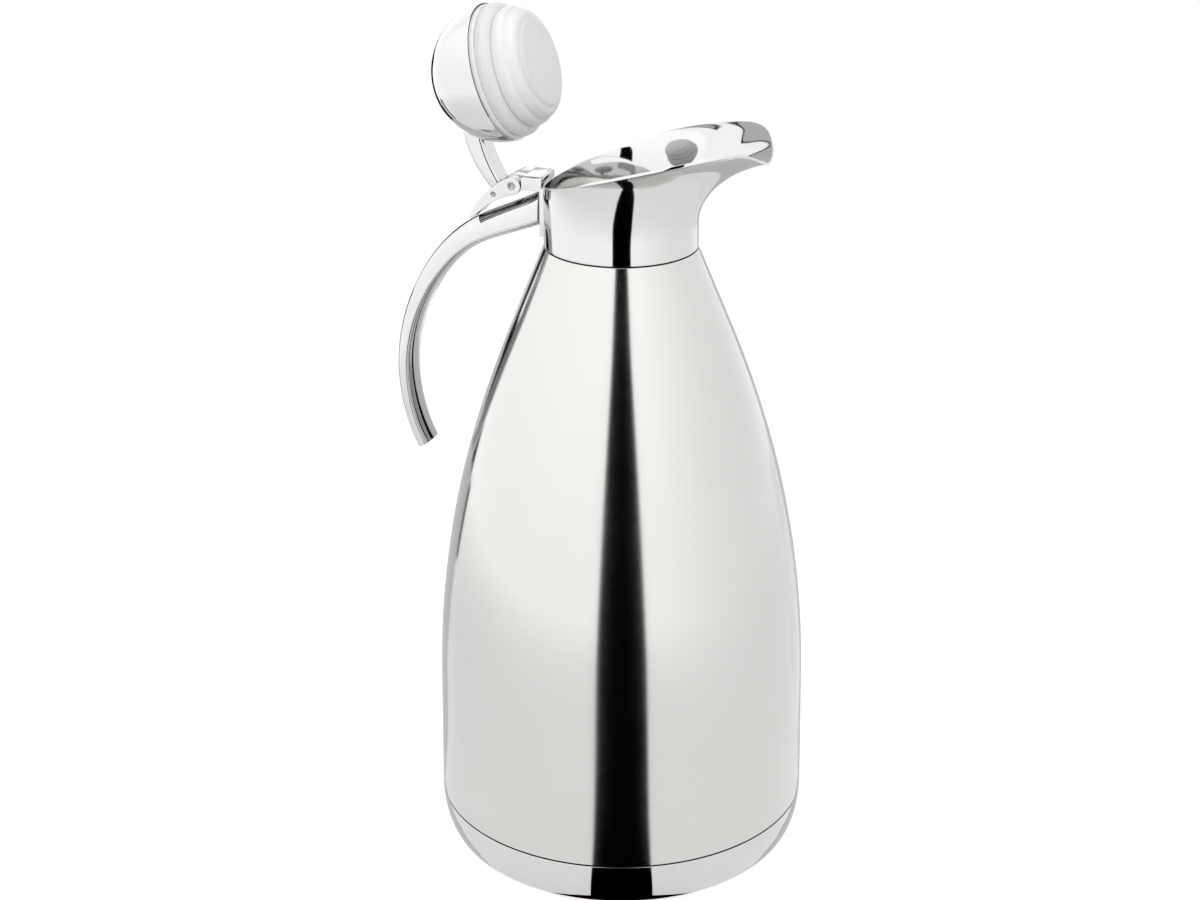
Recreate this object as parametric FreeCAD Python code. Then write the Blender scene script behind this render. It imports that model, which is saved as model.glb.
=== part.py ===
import FreeCAD, Part
from FreeCAD import Vector
import math
import os

os.makedirs("parts", exist_ok=True)

# Vacuum jug with a hinged ball lid. Millimetres and degrees.
# Z is the jug's axis, the floor is z = 0 and the spout points along +X.

# Vessel
BODY_R = 70.0            # outer radius at the base seam
BASE_SEAM_Z = 19.3       # height of the seam between shell and foot cup
NECK_R = 28.0            # outer radius of the neck
NECK_SEAM_Z = 236.0      # height of the seam between shell and collar
BODY_TAPER = 0.8         # lean of the lower wall
SHOULDER_ANGLE = 22.5    # half angle of the shoulder cone
SHOULDER_R = 375.0       # arc between the lower wall and the cone
SHELL_WALL = 0.8
FLASK_WALL = 0.6
VACUUM_GAP = 4.0         # between shell and flask
BOTTOM_GAP = 4.0         # between the base plate and the flask
FLASK_CORNER_R = 12.0
FOIL_T = 0.2
FOIL_EDGE = 6.0          # bare wall under the foil
SEAT_FIT = 0.05          # clearance where one fixed piece fits into another
SEAM_BREAK = 0.3         # broken edge along a seam

# Foot
CUP_WALL = 0.8
FOOT_INSET = 8.2         # how far the standing ring lies inside the body radius
FOOT_RING_W = 9.0
FOOT_RECESS = 2.0
SKIRT_DROP = 7.0         # how far the shell reaches into the foot cup
PLATE_T = 0.8
PLATE_DISH = 2.5
PINCH_R = 3.0
PINCH_BORE_R = 2.2
PINCH_LENGTH = 10.0
PINCH_FLAT_T = 1.2
PINCH_FLAT_LENGTH = 4.0
GETTER_R = 6.0
GETTER_T = 1.5
GETTER_X = 25.0

# Spout collar
COLLAR_WALL = 1.0
FLARE_RISE = 7.9         # straight sleeve above the neck seam
BACK_RISE = 21.0         # rim height at the back, above the neck seam
CREST_RISE = 42.4        # height to which the rim climbs towards the lip
LIP_DIP = 8.3            # how far the lip itself droops below that
LIP_SHARPNESS = 23.0     # how narrow the drooping part is
LIP_REACH = 26.6         # how far the lip stands out from the neck
LIP_SWEEP = 70.0         # angle through which the flare turns
RIM_CLIMB = 1.43         # how early the rim climbs
RIM_WIDEN = 0.042        # how much wider than the oval of the neck's own back the rim is

# Lid and stopper; depths run down from the rim of the dome
LID_RISE = 13.0          # rim of the closed dome above the neck seam
DOME_GAP = 2.0           # between dome and collar
DOME_WALL = 0.8
MOUTH_GAP = 1.4          # between stopper and mouth
MOUTH_STEP = 2.0         # mouth radius inside the dome radius
SEAL_GAP = 0.3           # between seal ring and seat
SEAL_BULGE_R = 3.2
SEAL_INSET = 4.2         # centre of the bulge inside the dome radius
SEAL_DEPTH = 3.6         # centre of the bulge below the dome rim
SEAL_BASE_T = 1.1        # soft wall behind the centre of the bulge
FLANGE_T = 1.6
SPIGOT_H = 3.0
RING_EDGE = 0.5          # how far the ring's edges lie inside its widest point
RING_H = 4.9
STOPPER_DEPTH = 15.6     # to the shoulder of the end cap
STOPPER_WALL = 2.0
STOPPER_END_STEP = 5.1   # end cap radius inside the widest point of the ring
STOPPER_BULGE = 0.5      # of the side between the ring and the end cap
CAP_T = 0.5
CAP_CROWN = 1.0
CAP_SPIGOT_H = 2.4
CAP_WALL = 1.4
STUD_R = 2.0
STUD_FOOT_R = 6.0
STUD_FOOT_T = 1.5
STUD_TAIL = 0.2          # thread end beyond the nut
WASHER_R = 5.0
WASHER_T = 0.8
NUT_ACROSS = 7.0
NUT_T = 2.2
FOAM_GAP = 0.4

# Hinge, lever and arm; places are given from the hinge pin
HINGE_BACK = 11.5        # pin behind the neck
HINGE_RISE = 20.0        # pin above the neck seam
OPEN_ANGLE = 108.0       # lid turned from closed to fully open
PIN_R = 1.5
PIN_RUN = 0.05           # running clearance in the lug
EYE_R = 3.4
LEVER_W = 14.0
SLOT_W = 6.4
LUG_SIDE = 0.2           # clearance at each side of the lug
LEVER_TOP_MID = (-7.7, -1.3)
LEVER_TAIL_TOP = (-16.1, -12.3)
LEVER_LOW_MID = (-7.9, -6.9)
LEVER_TAIL_X = -15.3
TAIL_GAP = 0.35          # between lever tail and handle when open
SLOT_END_X = -11.2       # back end of the fork's slot
TENON_X = -4.6           # front face of the arm's tenon
ARM_W = 10.0
ARM_BACK_ANGLE = 126.0   # where the arm meets the dome, turned from the spout side
ARM_FRONT_ANGLE = 147.0
ARM_SCREW_ANGLE = 141.0
ARM_FOOT_BACK = (-8.0, -3.2)
ARM_FOOT_FRONT = (-4.4, -0.4)
ARM_BACK_BOW = 2.0
ARM_FRONT_BOW = 0.8
ARM_ROUND = 1.8
ARM_PIN_R = 1.0
ARM_PIN_AT = (-7.0, -3.6)
ARM_SCREW_R = 1.25
ARM_SCREW_HEAD_R = 2.2
ARM_SCREW_HEAD_T = 1.4
ARM_SCREW_BITE = 3.0
ARM_SCREW_PITCH = 5.4

# Bracket and handle; places are given from the hinge pin
SADDLE_T = 1.5
SADDLE_W = 16.0
SADDLE_LOW = 2.5         # foot of the saddle above the neck seam
SADDLE_TOP = 20.5
CROSSBAR_GAP = 0.5       # between the back face of the crossbar and the eyes of the lever
CROSSBAR_LOW = -1.1      # from the pin
CROSSBAR_TOP = 4.1
CROSSBAR_ROUND = 1.2
LUG_LOW = -0.4
TONGUE_W = 7.0
TONGUE_LOW = -12.6
TONGUE_TOP = -8.4
TONGUE_L = 11.0          # from the neck to the tongue's end
SCREW_R = 2.0
SCREW_HEAD_R = 3.5
SCREW_HEAD_T = 1.6
SCREW_X = 7.0            # behind the neck
SCREW_WALL = 1.4         # handle left between screw head and tongue
SCREW_BITE = 3.8
HANDLE_CROWN = [(9.9, -1.6), (0.4, -7.7), (-22.3, -13.4), (-43.3, -42.3),
                (-51.5, -74.9), (-46.3, -98.2), (-41.5, -107.3)]
HANDLE_PROUD = 0.2       # root of the handle beyond the lever at each side
HANDLE_SLIM = 0.7        # how much each side draws in towards the free end
HANDLE_ROOT_T = 11.6
HANDLE_TIP_T = 6.1
HANDLE_THINNING = 1.9    # how fast the thickness falls from the root
HANDLE_BACK_SHARE = 0.72 # share of the thickness that is rounded outwards
HANDLE_SIDE_POWER = 0.8  # below 1 the section is fuller than an ellipse
HANDLE_FRONT_POWER = 0.75

# Values that follow
DOME_R = NECK_R - COLLAR_WALL - DOME_GAP
MOUTH_R = DOME_R - MOUTH_STEP
RING_R = MOUTH_R - MOUTH_GAP
LID_Z = NECK_SEAM_Z + LID_RISE
HINGE_X = -(NECK_R + HINGE_BACK)
HINGE_Z = NECK_SEAM_Z + HINGE_RISE
TUBE_R = NECK_R - COLLAR_WALL - SEAT_FIT
FOOT_R = BODY_R - FOOT_INSET
Z_AXIS = Vector(0, 0, 1)
Y_AXIS = Vector(0, 1, 0)
PIN = Vector(HINGE_X, 0, HINGE_Z)


def spot(p):
    return Vector(p[0], 0, p[1])


def at_pin(p):
    return (HINGE_X + p[0], HINGE_Z + p[1])


def outline(start, *steps):
    # A closed face in the XZ plane. A step is a point, an arc (through, end) or an edge with its end.
    edges = []
    here = start
    for step in steps:
        if isinstance(step[0], Part.Edge):
            edges.append(step[0])
            here = step[1]
        elif isinstance(step[0], tuple):
            edges.append(Part.Arc(spot(here), spot(step[0]), spot(step[1])).toShape())
            here = step[1]
        else:
            edges.append(Part.makeLine(spot(here), spot(step)))
            here = step
    if spot(here).sub(spot(start)).Length > 1e-6:
        edges.append(Part.makeLine(spot(here), spot(start)))
    return Part.Face(Part.Wire(Part.__sortEdges__(edges)))


def turned(face):
    return face.revolve(Vector(0, 0, 0), Z_AXIS, 360)


def slab(face, width):
    thick = face.extrude(Vector(0, width, 0))
    thick.translate(Vector(0, -width / 2, 0))
    return thick


def block(x0, x1, width, z0, z1):
    return Part.makeBox(x1 - x0, width, z1 - z0, Vector(x0, -width / 2, z0))


def cross_pin(p, radius, length):
    return Part.makeCylinder(radius, length, Vector(p[0], -length / 2, p[1]), Y_AXIS)


def bowed(a, b, bow):
    # The middle of an arc from a to b that bows to the right of the way there.
    run = (b[0] - a[0], b[1] - a[1])
    size = math.hypot(run[0], run[1])
    return ((a[0] + b[0]) / 2 + bow * run[1] / size, (a[1] + b[1]) / 2 - bow * run[0] / size)


def opened(shape):
    # From the closed lid to the open one.
    shape.rotate(PIN, Y_AXIS, -OPEN_ANGLE)
    return shape


def open_place(p):
    turn = math.radians(OPEN_ANGLE)
    dx = p[0] - HINGE_X
    dz = p[1] - HINGE_Z
    return (HINGE_X + dx * math.cos(turn) - dz * math.sin(turn),
            HINGE_Z + dx * math.sin(turn) + dz * math.cos(turn))


def save(shape, name):
    shape.exportStep("parts/" + name + ".step")


# Side line of the vessel: a leaning line, an arc and the shoulder cone
TAPER = math.radians(BODY_TAPER)
CONE = math.radians(SHOULDER_ANGLE)
CORNER_Z = ((NECK_R - BODY_R + NECK_SEAM_Z * math.tan(CONE) - BASE_SEAM_Z * math.tan(TAPER))
            / (math.tan(CONE) - math.tan(TAPER)))
CORNER_R = NECK_R + (NECK_SEAM_Z - CORNER_Z) * math.tan(CONE)
TANGENT = SHOULDER_R * math.tan((CONE - TAPER) / 2)


def side_line(depth):
    # The two ends and the middle of the arc, at this depth under the outside.
    low = (CORNER_R + TANGENT * math.sin(TAPER), CORNER_Z - TANGENT * math.cos(TAPER))
    centre = (low[0] - SHOULDER_R * math.cos(TAPER), low[1] - SHOULDER_R * math.sin(TAPER))
    radius = SHOULDER_R - depth
    points = []
    for turn in (TAPER, (TAPER + CONE) / 2, CONE):
        points.append((centre[0] + radius * math.cos(turn), centre[1] + radius * math.sin(turn)))
    return points


def wall_r(z, depth):
    low = side_line(depth)[0]
    return low[0] - (z - low[1]) * math.tan(TAPER)


def cone_r(z, depth):
    high = side_line(depth)[2]
    return high[0] - (z - high[1]) * math.tan(CONE)


def cone_z(r, depth):
    high = side_line(depth)[2]
    return high[1] - (r - high[0]) / math.tan(CONE)


# Seat of the stopper: a cone just clear of the bulge of the seal ring
SEAL_R = DOME_R - SEAL_INSET
SEAL_Z = LID_Z - SEAL_DEPTH
SEAT_OFF = (SEAL_BULGE_R + SEAL_GAP) * math.sqrt(0.5)


def seat_z(r):
    return SEAL_Z - SEAT_OFF + (r - SEAL_R - SEAT_OFF)


# Outer shell: steps in at the neck for the collar and at the base for the foot cup
CUP_IN_H = BASE_SEAM_Z - CUP_WALL
SKIRT_SHARE = math.sqrt(1 - (SKIRT_DROP / CUP_IN_H) ** 2)
SKIRT_R = FOOT_R + (FOOT_INSET - CUP_WALL) * SKIRT_SHARE - SEAT_FIT
SKIRT_Z = BASE_SEAM_Z - SKIRT_DROP
SEAT_LIP_T = FLASK_WALL * math.sqrt(2)
TUBE_IN_R = TUBE_R - SHELL_WALL
TUBE_TOP = seat_z(TUBE_IN_R) - SEAT_LIP_T
out_low, out_mid, out_high = side_line(0)
in_low, in_mid, in_high = side_line(SHELL_WALL)
LEDGE_Z = NECK_SEAM_Z - SHELL_WALL
STEP_Z = BASE_SEAM_Z + SHELL_WALL
outer_shell = turned(outline(
    (SKIRT_R, SKIRT_Z),
    (SKIRT_R, BASE_SEAM_Z),
    (BODY_R - SEAM_BREAK, BASE_SEAM_Z),
    (wall_r(BASE_SEAM_Z + SEAM_BREAK, 0), BASE_SEAM_Z + SEAM_BREAK),
    out_low,
    (out_mid, out_high),
    (cone_r(NECK_SEAM_Z - SEAM_BREAK, 0), NECK_SEAM_Z - SEAM_BREAK),
    (NECK_R - SEAM_BREAK, NECK_SEAM_Z),
    (TUBE_R, NECK_SEAM_Z),
    (TUBE_R, TUBE_TOP),
    (TUBE_IN_R, TUBE_TOP),
    (TUBE_IN_R, LEDGE_Z),
    (cone_r(LEDGE_Z, SHELL_WALL), LEDGE_Z),
    in_high,
    (in_mid, in_low),
    (wall_r(STEP_Z, SHELL_WALL), STEP_Z),
    (SKIRT_R - SHELL_WALL, STEP_Z),
    (SKIRT_R - SHELL_WALL, SKIRT_Z)))
save(outer_shell, "outer_shell")

# Vacuum base: a dished plate inside the skirt, with the hole for the pinch-off tube
PLATE_R = SKIRT_R - SHELL_WALL - SEAT_FIT
PLATE_TOP = SKIRT_Z + PLATE_DISH + PLATE_T
vacuum_base = turned(outline(
    (PINCH_R, PLATE_TOP),
    (PLATE_R, PLATE_TOP),
    (PLATE_R, SKIRT_Z),
    (PLATE_R - PLATE_T, SKIRT_Z),
    (PLATE_R - PLATE_T, PLATE_TOP - PLATE_T),
    (PINCH_R, PLATE_TOP - PLATE_T)))
save(vacuum_base, "vacuum_base")

# Pinch-off tube: round above, squeezed flat and shut at its lower end
PINCH_END = PLATE_TOP - PINCH_LENGTH
PINCH_ROUND_END = PINCH_END + PINCH_FLAT_LENGTH
tube = turned(outline(
    (PINCH_BORE_R, PLATE_TOP),
    (PINCH_R, PLATE_TOP),
    (PINCH_R, PINCH_ROUND_END),
    (PINCH_BORE_R, PINCH_ROUND_END)))
round_end = Part.Wire(Part.makeCircle(PINCH_R, Vector(0, 0, PINCH_ROUND_END), Z_AXIS))
flat_half = PINCH_R * math.pi / 2 - PINCH_FLAT_T / 2
flat_end = Part.Ellipse(Vector(flat_half, 0, PINCH_END), Vector(0, PINCH_FLAT_T / 2, PINCH_END),
                        Vector(0, 0, PINCH_END))
squeezed = Part.makeLoft([round_end, Part.Wire(flat_end.toShape())], True, True)
save(tube.fuse(squeezed).removeSplitter(), "pinch_off_tube")

# Inner flask: follows the shell at the vacuum gap, then a straight mouth and a conical seat
FLASK_OUT = SHELL_WALL + VACUUM_GAP
FLASK_IN = FLASK_OUT + FLASK_WALL
FLASK_Z = PLATE_TOP + BOTTOM_GAP
fo_low, fo_mid, fo_high = side_line(FLASK_OUT)
fi_low, fi_mid, fi_high = side_line(FLASK_IN)
MOUTH_OUT_R = MOUTH_R + FLASK_WALL
FLASK_SIDE_Z = FLASK_Z + FLASK_CORNER_R
FLASK_SIDE_R = wall_r(FLASK_SIDE_Z, FLASK_OUT)
FLASK_FLOOR_R = FLASK_SIDE_R - FLASK_CORNER_R
CORNER_IN_R = FLASK_CORNER_R - FLASK_WALL
DIAGONAL = math.sqrt(0.5)
inner_flask = turned(outline(
    (0, FLASK_Z),
    (FLASK_FLOOR_R, FLASK_Z),
    ((FLASK_FLOOR_R + FLASK_CORNER_R * DIAGONAL, FLASK_SIDE_Z - FLASK_CORNER_R * DIAGONAL),
     (FLASK_SIDE_R, FLASK_SIDE_Z)),
    fo_low,
    (fo_mid, fo_high),
    (MOUTH_OUT_R, cone_z(MOUTH_OUT_R, FLASK_OUT)),
    (MOUTH_OUT_R, seat_z(MOUTH_OUT_R) - SEAT_LIP_T),
    (TUBE_IN_R, TUBE_TOP),
    (TUBE_R, TUBE_TOP),
    (TUBE_R, TUBE_TOP + SEAT_LIP_T),
    (TUBE_IN_R, TUBE_TOP + SEAT_LIP_T),
    (MOUTH_R, seat_z(MOUTH_R)),
    (MOUTH_R, cone_z(MOUTH_R, FLASK_IN)),
    fi_high,
    (fi_mid, fi_low),
    (wall_r(FLASK_SIDE_Z, FLASK_IN), FLASK_SIDE_Z),
    ((FLASK_FLOOR_R + CORNER_IN_R * DIAGONAL, FLASK_SIDE_Z - CORNER_IN_R * DIAGONAL),
     (FLASK_FLOOR_R, FLASK_Z + FLASK_WALL)),
    (0, FLASK_Z + FLASK_WALL)))
save(inner_flask, "inner_flask")

# Radiation foil: wrapped on the straight side of the flask
FOIL_Z = FLASK_SIDE_Z + FOIL_EDGE
foil_low = side_line(FLASK_OUT - FOIL_T)[0]
radiation_foil = turned(outline(
    (wall_r(FOIL_Z, FLASK_OUT), FOIL_Z),
    (wall_r(FOIL_Z, FLASK_OUT - FOIL_T), FOIL_Z),
    foil_low,
    fo_low))
save(radiation_foil, "radiation_foil")

# Getter: a tablet under the floor of the flask
save(Part.makeCylinder(GETTER_R, GETTER_T, Vector(GETTER_X, 0, FLASK_Z - GETTER_T)), "getter")


# Foot cup: an elliptic corner, a flat standing ring and a raised middle
def quarter(radial, upright, from_seam):
    # Quarter ellipse between the seam and the standing ring.
    side = Vector(FOOT_R + radial, 0, BASE_SEAM_Z)
    foot = Vector(FOOT_R, 0, BASE_SEAM_Z - upright)
    centre = Vector(FOOT_R, 0, BASE_SEAM_Z)
    if upright >= radial:
        edge = Part.ArcOfEllipse(Part.Ellipse(foot, side, centre), 0, math.pi / 2).toShape()
    else:
        edge = Part.ArcOfEllipse(Part.Ellipse(side, foot, centre), 0, math.pi / 2).toShape()
    end = foot if from_seam else side
    return (edge, (end.x, end.z))


RING_IN_R = FOOT_R - FOOT_RING_W
base_cup = turned(outline(
    (BODY_R, BASE_SEAM_Z),
    quarter(FOOT_INSET, BASE_SEAM_Z, True),
    (RING_IN_R, 0),
    (RING_IN_R - FOOT_RECESS, FOOT_RECESS),
    (0, FOOT_RECESS),
    (0, FOOT_RECESS + CUP_WALL),
    (RING_IN_R - FOOT_RECESS, FOOT_RECESS + CUP_WALL),
    (RING_IN_R, CUP_WALL),
    (FOOT_R, CUP_WALL),
    quarter(FOOT_INSET - CUP_WALL, CUP_IN_H, False)))
save(base_cup, "base_cup")

# Spout collar: a sleeve that flares into an oval rim with a pouring lip
LIP_TURN = math.radians(LIP_SWEEP)
RIM_POINTS = 48
FLARE_STEPS = 8
SLEEVE_STEPS = 3


def collar_point(around, sweep):
    # On the outside: around from the lip, sweep from the end of the sleeve to the rim.
    out = (1 - math.cos(sweep)) / (1 - math.cos(LIP_TURN))
    up = math.sin(sweep) / math.sin(LIP_TURN)
    half = NECK_R + LIP_REACH * out / 2
    share = (1 + math.cos(around)) / 2
    climb = (CREST_RISE - BACK_RISE) * (1 - (1 - share) ** RIM_CLIMB)
    rise = BACK_RISE - FLARE_RISE + climb - LIP_DIP * share ** LIP_SHARPNESS
    return Vector(LIP_REACH * out / 2 + half * math.cos(around),
                  math.sqrt(NECK_R * half) * math.sin(around) * (1 + RIM_WIDEN * out),
                  NECK_SEAM_Z + FLARE_RISE + rise * up)


def collar_inside(around, sweep):
    # One wall thickness in from the outside, square to it.
    step = 1e-4
    along = collar_point(around + step, sweep).sub(collar_point(around - step, sweep))
    rise = collar_point(around, sweep + step).sub(collar_point(around, sweep - step))
    square = along.cross(rise).normalize()
    return collar_point(around, sweep).sub(square.multiply(COLLAR_WALL))


def loop(points):
    curve = Part.BSplineCurve()
    curve.interpolate(Points=points, PeriodicFlag=True)
    return Part.Wire(curve.toShape())


def collar_skin(place, sleeve_r):
    turns = [2 * math.pi * i / RIM_POINTS for i in range(RIM_POINTS)]
    loops = []
    for i in range(SLEEVE_STEPS):
        z = NECK_SEAM_Z + FLARE_RISE * i / SLEEVE_STEPS
        loops.append(loop([Vector(sleeve_r * math.cos(t), sleeve_r * math.sin(t), z) for t in turns]))
    for i in range(FLARE_STEPS + 1):
        sweep = LIP_TURN * i / FLARE_STEPS
        loops.append(loop([place(t, sweep) for t in turns]))
    skin = Part.makeLoft(loops, False, False)
    return skin, loops[0].Edges[0], loops[-1].Edges[0]


outside, out_foot, out_rim = collar_skin(collar_point, NECK_R)
inside, in_foot, in_rim = collar_skin(collar_inside, NECK_R - COLLAR_WALL)
collar_faces = outside.Faces + inside.Faces
collar_faces.append(Part.makeRuledSurface(out_rim, in_rim))
collar_faces.append(Part.makeRuledSurface(out_foot, in_foot))
collar_shell = Part.makeShell(collar_faces)
collar_shell.sewShape()
spout_collar = Part.makeSolid(collar_shell)
if spout_collar.Volume < 0:
    spout_collar.reverse()
save(spout_collar, "spout_collar")


# Lid dome: half a ball, with two holes for the screws of the arm
def below_rim(profile):
    # From (radius, depth under the dome rim) to a closed lid on the jug's axis.
    return [(p[0], LID_Z - p[1]) if not isinstance(p[0], tuple)
            else tuple((q[0], LID_Z - q[1]) for q in p) for p in profile]


DOME_IN_R = DOME_R - DOME_WALL
lid_dome = turned(outline(*below_rim([
    (DOME_R, 0),
    ((DOME_R * DIAGONAL, -DOME_R * DIAGONAL), (0, -DOME_R)),
    (0, -DOME_IN_R),
    ((DOME_IN_R * DIAGONAL, -DOME_IN_R * DIAGONAL), (DOME_IN_R, 0))])))
ARM_TURN = math.radians(ARM_SCREW_ANGLE)
arm_way = Vector(math.cos(ARM_TURN), 0, math.sin(ARM_TURN))


def on_arm_screws(near, far, radius):
    # A cylinder on each screw axis, between two distances from the dome's centre.
    solids = []
    for side in (-1, 1):
        foot = Vector(0, side * ARM_SCREW_PITCH / 2, LID_Z).add(Vector(arm_way).multiply(near))
        solids.append(Part.makeCylinder(radius, far - near, foot, arm_way))
    return solids


SCREW_SEAT = math.sqrt(DOME_IN_R ** 2 - (ARM_SCREW_HEAD_R + ARM_SCREW_PITCH / 2) ** 2)
SCREW_END = DOME_R + ARM_SCREW_BITE
lid_dome = lid_dome.cut(on_arm_screws(0, SCREW_END, ARM_SCREW_R))
save(opened(lid_dome), "lid_dome")

# Arm screws: round heads inside the dome, shanks into the arm
heads = on_arm_screws(SCREW_SEAT - ARM_SCREW_HEAD_T, SCREW_SEAT, ARM_SCREW_HEAD_R)
shanks = on_arm_screws(SCREW_SEAT - ARM_SCREW_HEAD_T / 2, SCREW_END, ARM_SCREW_R)
arm_screws = Part.makeCompound([heads[i].fuse(shanks[i]).removeSplitter() for i in range(2)])
save(opened(arm_screws), "arm_screws")

# Stopper body: spigot in the dome, flange on its rim, seat of the seal, lower ring
RING_TOP = SEAL_DEPTH + SEAL_BULGE_R
RING_LOW = RING_TOP + RING_H
END_R = RING_R - STOPPER_END_STEP
SEAL_IN_R = SEAL_R - SEAL_BASE_T
SPIGOT_R = math.sqrt(DOME_IN_R ** 2 - SPIGOT_H ** 2) - SEAT_FIT
WELL_R = SEAL_IN_R - STOPPER_WALL
FLOOR_TOP = STOPPER_DEPTH - CAP_SPIGOT_H - WASHER_T - STOPPER_WALL
FLOOR_LOW = FLOOR_TOP + STOPPER_WALL
POCKET_R = END_R - CAP_WALL
stopper_body = turned(outline(*below_rim([
    (STUD_R + SEAT_FIT, FLOOR_TOP),
    (WELL_R, FLOOR_TOP),
    (WELL_R, -SPIGOT_H),
    (SPIGOT_R, -SPIGOT_H),
    (SPIGOT_R, 0),
    (DOME_R, 0),
    (DOME_R, FLANGE_T),
    (SEAL_IN_R, FLANGE_T),
    (SEAL_IN_R, RING_TOP),
    (RING_R - RING_EDGE, RING_TOP),
    ((RING_R, (RING_TOP + RING_LOW) / 2), (RING_R - RING_EDGE, RING_LOW)),
    (bowed((RING_R - RING_EDGE, RING_LOW), (END_R, STOPPER_DEPTH), STOPPER_BULGE), (END_R, STOPPER_DEPTH)),
    (POCKET_R, STOPPER_DEPTH),
    (POCKET_R, FLOOR_LOW),
    (STUD_R + SEAT_FIT, FLOOR_LOW)])))
save(opened(stopper_body), "stopper_body")

# Seal ring: a soft bulge between the flange and the lower ring
FLANGE_SIDE = math.sqrt(SEAL_BULGE_R ** 2 - (SEAL_DEPTH - FLANGE_T) ** 2)
seal_ring = turned(outline(*below_rim([
    (SEAL_IN_R, FLANGE_T),
    (SEAL_R + FLANGE_SIDE, FLANGE_T),
    ((SEAL_R + SEAL_BULGE_R * DIAGONAL, SEAL_DEPTH + SEAL_BULGE_R * DIAGONAL), (SEAL_R, RING_TOP)),
    (SEAL_IN_R, RING_TOP)])))
save(opened(seal_ring), "seal_ring")

# Stud, washer and nut: clamp the stopper to the dome
NUT_LOW = FLOOR_LOW + WASHER_T + NUT_T
FOOT_TOP = -math.sqrt(DOME_IN_R ** 2 - STUD_FOOT_R ** 2)
dome_stud = turned(outline(*below_rim([
    (0, NUT_LOW + STUD_TAIL),
    (STUD_R, NUT_LOW + STUD_TAIL),
    (STUD_R, FOOT_TOP + STUD_FOOT_T),
    (STUD_FOOT_R, FOOT_TOP + STUD_FOOT_T),
    (STUD_FOOT_R, FOOT_TOP),
    ((STUD_FOOT_R / 2, -math.sqrt(DOME_IN_R ** 2 - STUD_FOOT_R ** 2 / 4)), (0, -DOME_IN_R))])))
save(opened(dome_stud), "dome_stud")
stopper_washer = turned(outline(*below_rim([
    (STUD_R + SEAT_FIT, FLOOR_LOW),
    (WASHER_R, FLOOR_LOW),
    (WASHER_R, FLOOR_LOW + WASHER_T),
    (STUD_R + SEAT_FIT, FLOOR_LOW + WASHER_T)])))
save(opened(stopper_washer), "stopper_washer")
nut_corners = []
for i in range(7):
    turn = math.radians(60 * i)
    reach = NUT_ACROSS / math.sqrt(3)
    nut_corners.append(Vector(reach * math.cos(turn), reach * math.sin(turn), LID_Z - NUT_LOW))
stopper_nut = Part.Face(Part.makePolygon(nut_corners)).extrude(Vector(0, 0, NUT_T))
stopper_nut = stopper_nut.cut(Part.makeCylinder(STUD_R, NUT_T, Vector(0, 0, LID_Z - NUT_LOW)))
save(opened(stopper_nut), "stopper_nut")

# Stopper cap: snaps into the pocket and hides the nut
CAP_SPIGOT_R = POCKET_R - SEAT_FIT
CAP_END = STOPPER_DEPTH + CAP_T
CROWN_R = (END_R ** 2 + CAP_CROWN ** 2) / (2 * CAP_CROWN)
CROWN_MID = CAP_END + CAP_CROWN - CROWN_R + math.sqrt(CROWN_R ** 2 - END_R ** 2 / 4)
stopper_cap = turned(outline(*below_rim([
    (0, STOPPER_DEPTH + STUD_TAIL),
    (CAP_SPIGOT_R - CAP_WALL, STOPPER_DEPTH + STUD_TAIL),
    (CAP_SPIGOT_R - CAP_WALL, STOPPER_DEPTH - CAP_SPIGOT_H),
    (CAP_SPIGOT_R, STOPPER_DEPTH - CAP_SPIGOT_H),
    (CAP_SPIGOT_R, STOPPER_DEPTH),
    (END_R, STOPPER_DEPTH),
    (END_R, CAP_END),
    ((END_R / 2, CROWN_MID), (0, CAP_END + CAP_CROWN))])))
save(opened(stopper_cap), "stopper_cap")

# Lid foam: fills the dome around the stud, with room for the screw heads
FOAM_R = DOME_IN_R - FOAM_GAP
FOAM_LOW = -SPIGOT_H - FOAM_GAP
FOAM_EDGE = math.sqrt(FOAM_R ** 2 - FOAM_LOW ** 2)
FOAM_HOLE = STUD_R + FOAM_GAP
FOAM_TOP = FOOT_TOP + STUD_FOOT_T + FOAM_GAP
FOAM_TOP_R = math.sqrt(FOAM_R ** 2 - FOAM_TOP ** 2)
FOAM_TURN = (math.atan2(-FOAM_LOW, FOAM_EDGE) + math.atan2(-FOAM_TOP, FOAM_TOP_R)) / 2
lid_foam = turned(outline(*below_rim([
    (FOAM_HOLE, FLOOR_TOP),
    (WELL_R - FOAM_GAP, FLOOR_TOP),
    (WELL_R - FOAM_GAP, FOAM_LOW),
    (FOAM_EDGE, FOAM_LOW),
    ((FOAM_R * math.cos(FOAM_TURN), -FOAM_R * math.sin(FOAM_TURN)), (FOAM_TOP_R, FOAM_TOP)),
    (FOAM_HOLE, FOAM_TOP)])))
HEAD_ROOM = SCREW_SEAT - ARM_SCREW_HEAD_T - FOAM_GAP
lid_foam = lid_foam.cut(on_arm_screws(HEAD_ROOM, DOME_R, ARM_SCREW_HEAD_R + FOAM_GAP))
save(opened(lid_foam), "lid_foam")

# Handle crown: the outer line of the handle, from the neck to the free end
crown = Part.BSplineCurve()
crown.buildFromPoles([spot(at_pin(p)) for p in HANDLE_CROWN], False, 3)


def crown_z(x):
    # Height of the crown where it passes under the lever.
    low = crown.FirstParameter
    high = (crown.FirstParameter + crown.LastParameter) / 2
    for i in range(60):
        mid = (low + high) / 2
        if crown.value(mid).x > x:
            low = mid
        else:
            high = mid
    return crown.value(low).z


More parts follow.
